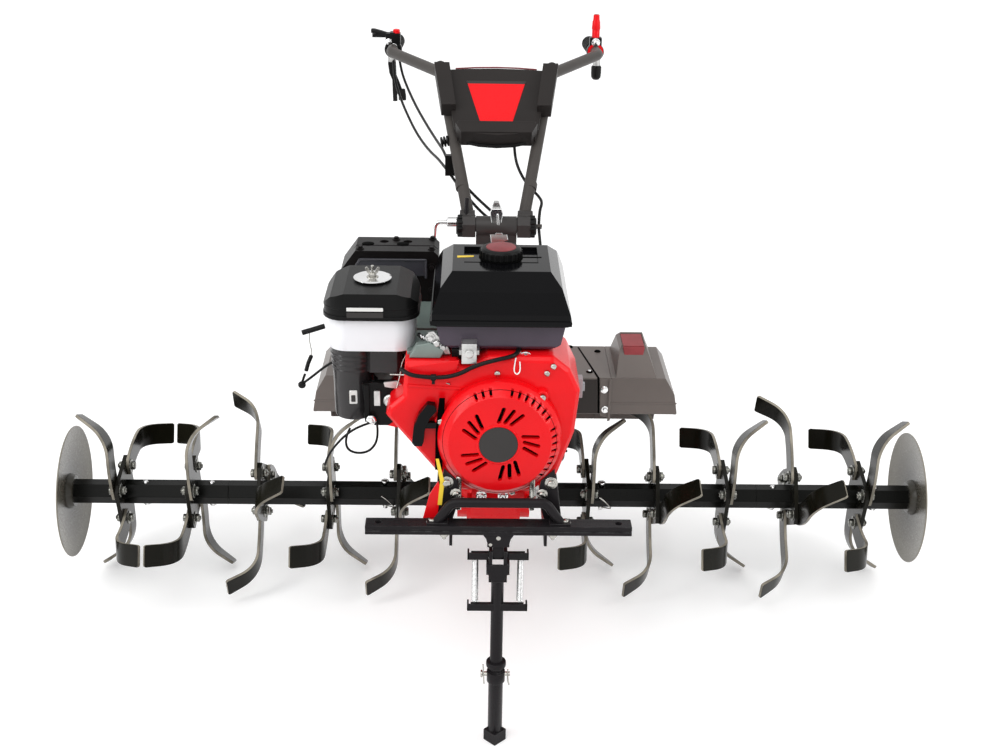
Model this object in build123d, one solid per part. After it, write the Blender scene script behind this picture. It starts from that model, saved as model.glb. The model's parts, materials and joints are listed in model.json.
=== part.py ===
from build123d import *
import os
from math import atan2, cos, degrees, hypot, pi, radians, sin, tan

# Walk-behind rotavator. +X to the operator's right hand seen from the front, +Y rearward to the handles, +Z up.
# Everything is modelled with the rotor axle at Y = 0, then moved by axle_y so the origin is under the middle.

# ---- fits ----
fit = 0.2
pin_fit = 0.05
face_gap = 0.3

# ---- rotor ----
tube_af = 42.0
shaft_af = 34.0
wheel_x = (188.0, 326.0, 464.0, 602.0, 740.0)
wheel_phase = {"right": (0, 60, 0, 60, 0), "left": (60, 0, 60, 0, 90)}
rest_angle = 15.0
plate_side = 115.0
plate_t = 8.0
tine_w = 48.0
tine_tip_w = 36.0
tine_t = 6.0
tine_root_r = 30.0
tine_bend_r = 123.0
tine_arc_r = 70.0
tine_turn = 55.0
tine_end = 39.0
disc_x = 850.0
disc_r = 131.0
disc_t = 4.0
disc_dish = 12.0
tube_start_x = 100.0
tube_joint_x = 530.0
shaft_end_x = 245.0
pin_x = 218.0
pin_r = 5.0
journal_r = 22.0
case_half = 45.0
bearing_half = 72.0

# ---- frame ----
rail_x = 75.0
rail_t = 5.0
rail_flange = 28.0
rail_top = 430.0
rail_h = 46.0
bar_len = 430.0
bar_depth = 28.0
bar_h = 16.0
bar_y = -534.0
bar_z0 = 420.0
bar_hole_inset = 21.0
bar_hole_spacing = bar_len - 2 * bar_hole_inset
bar_hole_r = 5.5
bumper_r = 8.0
bumper_foot_x = 100.0
bumper_top_x = 76.0
bumper_rise = 36.0

# ---- stand ----
stand_y = -533.0
stand_z = 377.0
stand_foot_y = -523.0
stand_pin_r = 5.0
stand_bar_half = 44.0
spring_x = 37.0
spring_r = 5.5
spring_low_z = 278.0
leg_r = 10.5
leg_lower_r = 12.5
leg_split_z = 148.0
foot_side = 28.0
foot_h = 22.0

# ---- engine ----
crank_z = 563.0
engine_back = -110.0
engine_front = -330.0
shroud_front = -470.0
recoil_front = -508.0
recoil_r = 100.0
recoil_face_r = 82.0

# ---- gearbox and handle ----
case_top = 640.0
case_front = -25.0
case_low_x = 80.0
case_low_z = 425.0
case_wide_x = 84.0
case_wide_z = 560.0
case_rear = 75.0
swivel_y = 150.0
swivel_z = 672.0
tilt_z = 720.0
lug_half = 40.0
lug_r = 20.0
tilt_pin_r = 8.0
bar_tube_r = 12.0
bar_low_x = 54.0
bar_bend_x = 116.0
bar_bend_y = 505.0
bar_bend_z = 948.0
grip_x = 235.0
grip_r = 17.0
grip_len = 140.0
grip_end_y = 1000.0
grip_bend_y = 720.0
grip_bend_z = bar_bend_z + 2.0
grip_end_z = grip_bend_z - 25.0
yoke_r = 16.0
console_from = 215.0
console_to = 400.0
console_t = 34.0
console_over = 18.0
air_x = -208.0
air_y = -365.0
head_rear = -171.0
bowl_z = 690.0
bowl_top = 745.0
hood_top = 790.0
elbow_low = 640.0
intake_z = 618.0
muffler_depth = 80.0
hitch_y = 235.0
hitch_z = 300.0
hitch_rise = 100.0
hitch_r = 7.0
hitch_t = 12.0

# ---- engine dress ----
rim_z = 757.0
rim_x = 109.5
tank_front = -463.0
tank_rear = -218.0
tank_top = 826.0
tank_top_x = 78.0
tank_low_z = 702.0
cap_y = -352.0
cap_r = 26.0
slot_w = 6.5
slot_in = 36.0
slot_out = 66.0
slot_groups = 5
slot_first = 1.0
slot_pitch = 15.0
slot_swirl = -17.0
slot_depth = 12.0
rim_slot_r = 90.0
rim_slot_half = 7.0
shroud_top = 699.0
handle_mid_z = 584.0
plate_top = 522.0
head_x0 = -215.0
head_x1 = -105.0
head_z0 = 560.0
head_z1 = 680.0
muffler_z0 = 664.0
muffler_z1 = 773.0
canister_r = 32.0

# ---- fenders ----
fender_t = 4.0
fender_front = -91.0
fender_low = 426.0
fender_top = 500.0
fender_flat_end = 68.0
fender_knee_y = 200.0
fender_knee_z = 400.0
fender_tail_y = 237.0
fender_tail_z = 262.0
fender_inner_x = 133.0
fender_split_x = 217.0
fender_outer_x = 345.0
fender_clear_r = 228.0
bump_x0 = 226.0
bump_x1 = 300.0
bump_top = 550.0

# ---- controls ----
perch_gap = 55.0
perch_half = 13.0
lever_len = 135.0
cable_r = 3.0
guide_tilt = 35.0

# ---- cable routes ----
# Routes chosen by hand, from the perch or console down to the handle's pivot.
clutch_route = [
    (-235, 795.4, 924.6), (-234, 789, 893), (-226, 762, 862), (-212, 714, 838), (-195, 655, 818), (-176, 590, 800),
    (-156, 525, 789), (-137, 462, 785), (-121, 405, 787), (-107, 355, 784), (-94, 312, 780), (-78, 280, 766),
    (-57, 250, 749), (-36, 222, 733), (-16, 198, 722), (-3, 172.6, 719),
]
stop_route = [
    (-222, 795.4, 928), (-216, 776, 898), (-204, 733, 877), (-188, 676, 858), (-171, 616, 842), (-153, 554, 829),
    (-136, 493, 819), (-121, 435, 813), (-109, 381, 811), (-99, 337, 799), (-84, 300, 787), (-66, 268, 772),
    (-44, 240, 756), (-22, 217, 742), (-4, 195, 732), (9, 172.6, 724),
]
throttle_route = [
    (37, 327, 845.8), (38, 325, 822), (44, 311, 798), (57, 288, 777), (73, 259, 764), (87, 228, 758),
    (92, 197, 755), (85, 168.3, 746), (84, 152.2, 723.1),
]
swivel_route = [
    (84, 148, 717.1), (86, 133, 696), (90, 115, 669), (93, 94, 636), (90, 78.5, 617), (83.5, 68, 606.5), (74.4, 60.5, 601),
]

# ---- worked out from the above ----
turn = radians(tine_turn)
tine_x0 = plate_t / 2 + tine_t / 2
tip_x = tine_x0 + tine_arc_r * (1 - cos(turn)) + tine_end * sin(turn)
tip_r = tine_bend_r + tine_arc_r * sin(turn) + tine_end * cos(turn)
tip_outer_r = tip_r + tine_t / 2 * sin(turn)
axle_z = tip_outer_r * cos(radians(rest_angle)) + tine_tip_w / 2 * sin(radians(rest_angle))
front_y = bar_y - bar_depth / 2
grip_drop = atan2(grip_bend_z - grip_end_z, grip_end_y - grip_bend_y)
perch_y = grip_end_y - grip_len - perch_gap
rear_y = grip_end_y - grip_len / 2 * (1 - cos(grip_drop)) + grip_r * sin(grip_drop)
axle_y = -(front_y + rear_y) / 2
saved = {}
tubes = {}


def block(x0, x1, y0, y1, z0, z1):
    return Pos((x0 + x1) / 2, (y0 + y1) / 2, (z0 + z1) / 2) * Box(x1 - x0, y1 - y0, z1 - z0)


def rod_x(r, x0, x1, y, z):
    return Pos((x0 + x1) / 2, y, z) * Rot(0, 90, 0) * Cylinder(r, x1 - x0)


def rod_y(r, y0, y1, x, z):
    return Pos(x, (y0 + y1) / 2, z) * Rot(90, 0, 0) * Cylinder(r, y1 - y0)


def rod_z(r, z0, z1, x, y):
    return Pos(x, y, (z0 + z1) / 2) * Cylinder(r, z1 - z0)


def side_prism(outline, x0, x1):
    """Extrudes a (Y, Z) outline from x0 to x1."""
    plane = Plane(origin=(x0, 0, 0), x_dir=(0, 1, 0), z_dir=(1, 0, 0))
    return extrude(plane * make_face(Polyline(*outline, close=True)), amount=x1 - x0)


def front_prism(outline, y0, y1):
    """Extrudes an (X, Z) outline from y0 to y1."""
    plane = Plane(origin=(0, y1, 0), x_dir=(1, 0, 0), z_dir=(0, -1, 0))
    return extrude(plane * make_face(Polyline(*outline, close=True)), amount=y1 - y0)


def hex_bar(af, x0, x1):
    plane = Plane(origin=(x0, 0, axle_z), x_dir=(0, 1, 0), z_dir=(1, 0, 0))
    return extrude(plane * RegularPolygon(af / 2, 6, major_radius=False), amount=x1 - x0)


def bent_rod(points, radius, bends):
    path = FilletPolyline(*points, radius=bends)
    start = Plane(origin=path @ 0, z_dir=path % 0)
    return sweep(start * Circle(radius), path=path)


def save(node, *solids):
    moved = [Pos(0, axle_y, 0) * s for solid in solids for s in solid.solids()]
    shape = moved[0] if len(moved) == 1 else Compound(children=moved)
    saved[node] = shape
    export_step(shape, f"parts/{node}.step")


# ---- rotor ----
def tine(side):
    """One L blade pointing up from the axle line, bent towards side (+1 or -1) in X."""
    cx, c, s = tine_x0 + tine_arc_r, cos(turn), sin(turn)

    def on_arc(r, a):
        return (cx - r * cos(a), tine_bend_r + r * sin(a))

    outer, inner = tine_arc_r + tine_t / 2, tine_arc_r - tine_t / 2
    a, b = on_arc(outer, turn), on_arc(inner, turn)
    a_end, b_end = (a[0] + tine_end * s, a[1] + tine_end * c), (b[0] + tine_end * s, b[1] + tine_end * c)
    x_out, x_in = tine_x0 - tine_t / 2, tine_x0 + tine_t / 2
    edges = [
        Line((x_out, tine_root_r), (x_out, tine_bend_r)),
        ThreePointArc((x_out, tine_bend_r), on_arc(outer, turn / 2), a),
        Line(a, a_end),
        Line(a_end, b_end),
        Line(b_end, b),
        ThreePointArc(b, on_arc(inner, turn / 2), (x_in, tine_bend_r)),
        Line((x_in, tine_bend_r), (x_in, tine_root_r)),
        Line((x_in, tine_root_r), (x_out, tine_root_r)),
    ]
    strip = extrude(Plane.XZ * make_face(edges), amount=tine_w / 2, both=True)
    w, t, top = tine_w / 2, tine_tip_w / 2, tip_outer_r + 5
    plan = side_prism([(-w, 0), (w, 0), (w, tine_bend_r), (t, tip_r - 12), (t, top), (-t, top), (-t, tip_r - 12), (-w, tine_bend_r)], -5, tip_x + 20)
    blade = strip & plan
    return blade if side > 0 else mirror(blade, Plane.YZ)


def tine_wheel(x, angle):
    """Square plate on the hexagon tube with four blades, alternately bent each way."""
    plate = Box(plate_t, plate_side, plate_side)
    wheel = Rot(45, 0, 0) * chamfer(plate.edges().filter_by(Axis.X), 12)
    for quarter, side in enumerate((-1, 1, -1, 1)):
        wheel += Rot(90 * quarter, 0, 0) * tine(side)
    hexagon = Plane(origin=(-plate_t, 0, 0), x_dir=(0, 1, 0), z_dir=(1, 0, 0)) * RegularPolygon(tube_af / 2 + fit, 6, major_radius=False)
    turned = Pos(x, 0, axle_z) * Rot(angle - 90, 0, 0) * wheel
    return turned - Pos(x, 0, axle_z) * extrude(hexagon, amount=2 * plate_t)


def disc(side):
    """Dished guard disc on a hexagon hub."""
    dish = [(tube_af / 2 + 8, 0), (disc_r - 30, 0), (disc_r, disc_dish), (disc_r, disc_dish + disc_t), (disc_r - 32, disc_t), (tube_af / 2 + 8, disc_t)]
    plate = revolve(make_face(Polyline(*[(r, h, 0) for r, h in dish], close=True)), Axis.Y)
    plate = Rot(0, 0, -90) * plate
    hub = Pos(-10, 0, 0) * Rot(0, 90, 0) * Cylinder(tube_af / 2 + 10, 28)
    hexagon = Plane(origin=(-40, 0, 0), x_dir=(0, 1, 0), z_dir=(1, 0, 0)) * RegularPolygon(tube_af / 2 + fit, 6, major_radius=False)
    shape = (plate + hub) - extrude(hexagon, amount=80)
    shape = shape if side > 0 else mirror(shape, Plane.YZ)
    return Pos(side * (disc_x - disc_dish - disc_t), 0, axle_z) * shape


def both_sides(x0, x1, maker):
    return [maker(x0, x1), maker(-x1, -x0)]


def make_rotor():
    shaft = hex_bar(shaft_af - 2 * fit, -shaft_end_x, shaft_end_x) + rod_x(journal_r, -bearing_half - 12, bearing_half + 12, 0, axle_z)
    save("output_shaft", shaft)
    pin_hole = [rod_z(pin_r + fit, axle_z - 40, axle_z + 40, s * pin_x, 0) for s in (1, -1)]
    inner = both_sides(tube_start_x, tube_joint_x, lambda a, b: hex_bar(tube_af, a, b) - hex_bar(shaft_af, a - 1, b + 1))
    save("hex_tubes_inner", *[tube - pin_hole[0] - pin_hole[1] for tube in inner])
    def outer_tube(a, b):
        spigot = (a - 90, b) if a > 0 else (a, b + 90)
        return hex_bar(tube_af, a, b) + hex_bar(shaft_af - 2 * fit, *spigot)
    save("hex_tubes_outer", *both_sides(tube_joint_x, disc_x + 4, outer_tube))
    for name, sign in (("right", 1), ("left", -1)):
        save(f"tine_wheels_{name}", *[tine_wheel(sign * x, rest_angle + phase) for x, phase in zip(wheel_x, wheel_phase[name])])
    save("guard_discs", disc(1), disc(-1))


# ---- frame ----
def make_frame():
    for name, s in (("left", -1), ("right", 1)):
        web = block(rail_x, rail_x + rail_t, bar_y + bar_depth / 2, case_front, rail_top - rail_h, rail_top)
        top = block(rail_x, rail_x + rail_flange, bar_y + bar_depth / 2, case_front, rail_top - rail_t, rail_top)
        foot = block(case_half, rail_x + rail_t, case_front - 6, case_front, rail_top - rail_h, rail_top)
        front = bar_y + bar_depth / 2
        outer = rail_x + rail_flange
        side = [(rail_x, rail_top), (outer, rail_top), (outer - 14, plate_top), (outer - 36, plate_top - 22), (rail_x - 12, 470)]
        rail = web + top + foot + front_prism(side, front + 6, front + 11)
        save(f"frame_rail_{name}", rail if s > 0 else mirror(rail, Plane.YZ))
    bar = block(-bar_len / 2, bar_len / 2, bar_y - bar_depth / 2, bar_y + bar_depth / 2, bar_z0, bar_z0 + bar_h)
    for s in (1, -1):
        bar -= rod_z(bar_hole_r, bar_z0 - 1, bar_z0 + bar_h + 1, s * bar_hole_spacing / 2, bar_y)
    for y in (bar_y - bar_depth / 2, bar_y + bar_depth / 2):
        bar -= block(-bar_len, bar_len, y - 1.5, y + 1.5, bar_z0 + 6, bar_z0 + 9)
    save("crossbar", bar)
    top = bar_z0 + bar_h
    z = top + bumper_rise
    points = [(-bumper_foot_x, bar_y, top), (-bumper_top_x, bar_y, z), (bumper_top_x, bar_y, z), (bumper_foot_x, bar_y, top)]
    arch = bent_rod(points, bumper_r, 18) & block(-200, 200, bar_y - 20, bar_y + 20, top, z + 40)
    save("bumper", arch)
    tongue_end = rod_x(9, -9, 9, stand_y, stand_z)
    tongue = block(-9, 9, stand_y - 9, stand_y + 9, stand_z, bar_z0) + tongue_end + rod_z(14, bar_z0 - 22, bar_z0, 0, stand_y)
    save("stand_bracket", tongue - rod_x(stand_pin_r + pin_fit, -30, 30, stand_y, stand_z))


def make_stand():
    lean = degrees(atan2(stand_foot_y - stand_y, stand_z))
    drop = hypot(stand_foot_y - stand_y, stand_z)

    def down(d):
        return Pos(0, stand_y + d * sin(radians(lean)), stand_z - d * cos(radians(lean))) * Rot(lean, 0, 0)

    def leg_rod(r, d0, d1):
        return down((d0 + d1) / 2) * Cylinder(r, d1 - d0)

    cheeks = block(9 + face_gap, 15, stand_y - 13, stand_y + 13, stand_z - 40, stand_z + 11)
    cheeks += mirror(cheeks, Plane.YZ)
    floor = block(-15, 15, stand_y - 13, stand_y + 13, stand_z - 46, stand_z - 34)
    pivot = rod_x(stand_pin_r, -stand_bar_half, stand_bar_half, stand_y, stand_z)
    split = stand_z - leg_split_z
    leg = cheeks + floor + pivot + leg_rod(leg_r, 40, split + 30) + leg_rod(leg_lower_r, split, drop - foot_h - leg_lower_r * sin(radians(lean)))
    low = stand_z - spring_low_z
    low_y = stand_y + low * sin(radians(lean))
    leg += rod_x(stand_pin_r, -stand_bar_half, stand_bar_half, low_y, spring_low_z)
    leg += leg_rod(leg_lower_r + 3, split + 2, split + 22)
    save("stand_leg", leg)
    save("stand_foot", Pos(0, stand_foot_y, foot_h / 2 - face_gap / 2) * Rot(0, 0, 45) * Box(foot_side, foot_side, foot_h - face_gap))
    springs = []
    for s in (1, -1):
        length = hypot(low, low_y - stand_y) - 2 * stand_pin_r - 2 * face_gap
        middle = Pos(s * spring_x, (stand_y + low_y) / 2, (stand_z + spring_low_z) / 2) * Rot(lean, 0, 0)
        springs.append(middle * Cylinder(spring_r, length))
    save("stand_springs", *springs)


# ---- gearbox ----
def make_gearbox():
    leg = side_prism([(-60, axle_z), (-42, axle_z - 45), (0, axle_z - 62), (42, axle_z - 45), (60, axle_z), (case_rear, hitch_z - 8), (case_rear, 440), (case_front, 440)], -case_half, case_half)
    upper = front_prism([(-case_low_x, case_low_z), (case_low_x, case_low_z), (case_wide_x, case_wide_z), (60, case_top), (-60, case_top), (-case_wide_x, case_wide_z)], case_front, case_rear)
    bearings = rod_x(46, -bearing_half, bearing_half, 0, axle_z)
    collars = rod_x(56, -case_half - 8, case_half + 8, 0, axle_z) + rod_x(34, -case_half - 6, case_half + 6, 14, 350)
    ribs = block(-case_half - 5, case_half + 5, -8, 2, axle_z + 40, 430)
    case = leg + chamfer(upper.edges().filter_by(Axis.X), 8) + bearings + collars + ribs
    save("gearbox_case", case - rod_x(journal_r + pin_fit, -200, 200, 0, axle_z))
    save("clutch_housing", rod_y(88, engine_back, case_front, 0, crank_z) + rod_y(98, engine_back, engine_back + 14, 0, crank_z))
    plate = block(-35, 35, case_rear + face_gap, hitch_y + 25, hitch_z, hitch_z + hitch_t)
    plate += block(-35, 35, case_rear + face_gap, case_rear + 10, hitch_z, hitch_z + hitch_rise)
    save("hitch_bracket", plate - rod_z(hitch_r, hitch_z - 1, hitch_z + hitch_t + 1, 0, hitch_y))


# ---- engine ----
def make_engine():
    block_top = head_z0 + 65
    save("engine_block", block(head_x1, -head_x1, engine_front, engine_back, rail_top, block_top))
    fins = block(head_x0, head_x1, engine_front + 30, head_rear, head_z0, head_z1)
    for row in range(6):
        z = head_z0 + 18 + row * 16
        for y in (engine_front + 30, head_rear - 9):
            fins -= block(head_x0 - 1, head_x1 - 12, y - 1, y + 9, z, z + 7)
    save("cylinder_head", fins)
    top = shroud_top
    outline = [
        (-152, top - 10), (-156, 630), (-178, 610), (-184, 594), (-103, 494), (-60, 458), (50, 455), (96, 488),
        (122, 565), (129, 640), (112, top - 23), (84, top), (-20, top), (-44, top - 15), (-62, top - 19), (-70, top - 10),
    ]
    shroud = front_prism(outline, shroud_front, engine_front)
    save("blower_shroud", chamfer(shroud.faces().sort_by(Axis.Y)[0].edges(), 7))
    make_recoil()


def radial_slot(angle, r0, r1, width, swirl):
    """A straight slot tool on the recoil's face, its middle at angle and turned by swirl from the radius."""
    a, middle = radians(angle), (r0 + r1) / 2
    tool = Box(r1 - r0 - width, 2 * slot_depth, width)
    for end in (-1, 1):
        tool += Pos(end * (r1 - r0 - width) / 2, 0, 0) * Rot(90, 0, 0) * Cylinder(width / 2, 2 * slot_depth)
    tool = Rot(0, -(angle + swirl), 0) * tool
    return Pos(middle * cos(a), recoil_front + 2, crank_z + middle * sin(a)) * tool


def make_recoil():
    base, face = shroud_front, recoil_front
    dome = [(0, base), (recoil_r, base), (recoil_r, base - 16), (recoil_r - 5, base - 24), (recoil_face_r, face), (0, face)]
    cover = Pos(0, 0, crank_z) * revolve(Plane.XY * make_face(Polyline(*dome, close=True)), Axis.Y)
    for group in range(slot_groups):
        for step in (-1, 0, 1):
            angle = slot_first + 360 / slot_groups * group + step * slot_pitch
            cover -= radial_slot(angle, slot_in, slot_out, slot_w, slot_swirl)
    for first, count in ((-40, 8), (30, 7), (100, 3)):
        for step in range(count):
            cover -= radial_slot(first + 8 * step, rim_slot_r - rim_slot_half, rim_slot_r + rim_slot_half, slot_w - 2, 0)
    save("recoil_cover", cover)
    z = handle_mid_z
    stem = block(-122, -80, base - 14, base - 4, z - 5, z + 5) - rod_y(recoil_r + face_gap, face, base, 0, crank_z)
    grip = [
        (-116, z + 39), (-130, z + 20), (-138, z), (-141, z - 29), (-137, z - 35), (-125, z - 35),
        (-122, z - 27), (-120, z - 6), (-112, z + 14), (-101, z + 28), (-104, z + 37),
    ]
    save("starter_handle", front_prism(grip, base - 18, base - 2) + stem)



def make_tank():
    x, rim, top = rim_x, rim_z, tank_top
    across = [(-x, rim - 8), (x, rim - 8), (x, rim + 10), (tank_top_x + 18, top - 20), (tank_top_x, top), (-tank_top_x, top), (-tank_top_x - 18, top - 20), (-x, rim + 10)]
    front, rear = tank_front, tank_rear
    along = [(front, rim - 8), (front, rim + 10), (front + 10, top - 24), (front + 40, top), (rear - 70, top), (rear - 14, top - 36), (rear, rim + 10), (rear, rim - 8)]
    upper = front_prism(across, front, rear) & side_prism(along, -x, x)
    recess = block(-60, 60, cap_y - 30, rear - 82, top - 7, top + 1)
    cap_seat = rod_z(cap_r + 8, top - 7, top, 0, cap_y)
    save("tank_upper", upper + block(-x - 2, x + 2, front - 2, rear + 2, rim - 8, rim) - recess + cap_seat)
    low = tank_low_z
    belly = front_prism([(-78, low), (-96, low + 10), (-104, rim - 8 - face_gap), (104, rim - 8 - face_gap), (96, low + 10), (78, low)], front + 12, rear - 12)
    belly &= side_prism([(front + 19, low), (front + 12, low + 7), (front + 12, rim - 8 - face_gap), (rear - 12, rim - 8 - face_gap), (rear - 12, low + 18), (rear - 34, low)], -x, x)
    save("tank_lower", belly + block(-60, 60, engine_front + 10, rear - 34, head_z0 + 65, low))
    crown = rod_z(cap_r, top, top + 16, 0, cap_y)
    for lobe in range(12):
        crown -= Pos(0, cap_y, top + 8) * Rot(0, 0, 30 * lobe) * Pos(cap_r, 0, 0) * Box(4, 5, 20)
    save("fuel_cap", crown + rod_z(cap_r - 6, top + 16, top + 23, 0, cap_y))


def make_side_parts():
    rear = head_rear + face_gap
    x0, x1, z0, z1 = air_x - 70, air_x + 102, muffler_z0, muffler_z1
    face = [(x0 + 10, z0), (x1 - 8, z0), (x1, z0 + 8), (x1, z1 - 8), (x1 - 8, z1), (x0 + 26, z1), (x0, z1 - 36), (x0, z0 + 14)]
    muffler = front_prism(face, rear, rear + muffler_depth)
    muffler -= block(x0 - 1, x1 + 1, rear + 30, rear + 34, z1 - 6, z1 + 1)
    for x in (x0 + 74, x0 + 116):
        muffler -= rod_z(8, z1 - 12, z1 + 1, x, rear + 55)
    save("muffler", muffler)
    x0, x1, hood_front, hood_rear = air_x - 76, air_x + 76, air_y - 72, air_y + 68
    top = hood_top
    hood = [
        (x0, bowl_top), (x1, bowl_top), (x1, top - 22), (x1 - 12, top - 8), (x1 - 34, top),
        (x0 + 34, top), (x0 + 12, top - 8), (x0, top - 22),
    ]
    plan = Plane.XY * Pos(air_x, (hood_front + hood_rear) / 2) * RectangleRounded(x1 - x0, hood_rear - hood_front, 34)
    cover = front_prism(hood, hood_front, hood_rear) & (Pos(0, 0, bowl_top) * extrude(plan, amount=hood_top - bowl_top))
    save("air_cleaner_cover", cover + rod_z(20, top, top + 3, air_x, air_y))
    bowl = Pos(air_x, air_y, bowl_z) * extrude(RectangleRounded(140, 130, 32), amount=bowl_top - face_gap - bowl_z)
    save("air_cleaner_bowl", bowl)
    canister = rod_z(canister_r, 559, bowl_z - face_gap, air_x - 35, air_y)
    for row in range(6):
        z = 600 + row * 12
        canister -= rod_z(canister_r + 1, z, z + 5, air_x - 35, air_y) - rod_z(canister_r - 3, z, z + 5, air_x - 35, air_y)
    elbow = block(air_x - 12, air_x + 48, air_y - 35, engine_front - 2, elbow_low, bowl_z - face_gap)
    elbow = chamfer(elbow.edges().filter_by(Axis.Z), 8)
    save("air_cleaner_canister", canister + elbow)
    throat = block(air_x + 3, air_x + 43, engine_front + 1, engine_front + 30 - face_gap, 590, bowl_z - face_gap)
    intake = rod_y(16, engine_front - 8, engine_front + 4, air_x + 12, intake_z)
    intake -= block(head_x0 + 23, 0, shroud_front, engine_front + 1, intake_z - 20, intake_z + 20)
    save("carburettor", throat + intake)


# ---- fenders ----
def fender_solid(x0, x1, inset):
    """The guard's side profile over the inner wheels: its outside at inset 0, or its cavity set in by a wall."""
    f, low, top, flat = fender_front, fender_low, fender_top, fender_flat_end
    if inset:
        profile = [
            (f + inset, low - 9), (f + inset, top - inset), (flat - inset / 2, top - inset),
            (fender_knee_y - inset, fender_knee_z - inset / 2), (fender_tail_y - 7, fender_tail_z - 14), (150, 200),
        ]
    else:
        profile = [(f, low), (f, top), (flat, top), (fender_knee_y, fender_knee_z), (fender_tail_y, fender_tail_z)]
    return side_prism(profile, x0, x1)


def cap_section(x0, x1):
    """The cap seen from the front: a flat top, then a shoulder and a taper down its outer end."""
    top = fender_top
    return front_prism([(x0, 200), (x0, top), (x1 - 25, top), (x1 - 6, top - 34), (x1, top - 70), (x1, 200)], -200, 300)


def fender_cap():
    x0, x1, top = fender_split_x, fender_outer_x, fender_top
    cap = fender_solid(x0 + face_gap, x1, 0) & cap_section(x0, x1)
    cap -= fender_solid(x0 - 1, x1, fender_t) & cap_section(x0 - 1, x1 - fender_t)
    cap -= rod_x(fender_clear_r, x0 - 1, x1 + 1, 0, axle_z)
    bump = front_prism([(bump_x0, top - 2), (bump_x0 + 8, bump_top - 8), (bump_x0 + 16, bump_top), (bump_x1 - 16, bump_top), (bump_x1 + 4, top - 2)], fender_front, 60)
    bump &= side_prism([(fender_front, top - 2), (-50, bump_top - 6), (-30, bump_top), (20, bump_top), (60, top - 2)], x0, x1)
    insert = block(bump_x0 + 14, bump_x1 - 18, -44, 14, bump_top - 3, bump_top + 1)
    return cap + bump - insert


def make_fenders():
    wall = case_low_x + (case_wide_x - case_low_x) * (496 - case_low_z) / (case_wide_z - case_low_z)
    inner = fender_solid(fender_inner_x, fender_split_x, 0)
    inner -= fender_solid(fender_inner_x - 1, fender_split_x + 1, fender_t)
    inner -= rod_x(fender_clear_r, fender_inner_x - 1, fender_split_x + 1, 0, axle_z)
    inner += block(wall + face_gap, fender_inner_x + 1, 0, 60, fender_top - 10, fender_top - fender_t)
    cap = fender_cap()
    for name, s in (("left", -1), ("right", 1)):
        save(f"fender_inner_{name}", inner if s > 0 else mirror(inner, Plane.YZ))
        save(f"fender_outer_{name}", cap if s > 0 else mirror(cap, Plane.YZ))


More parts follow.
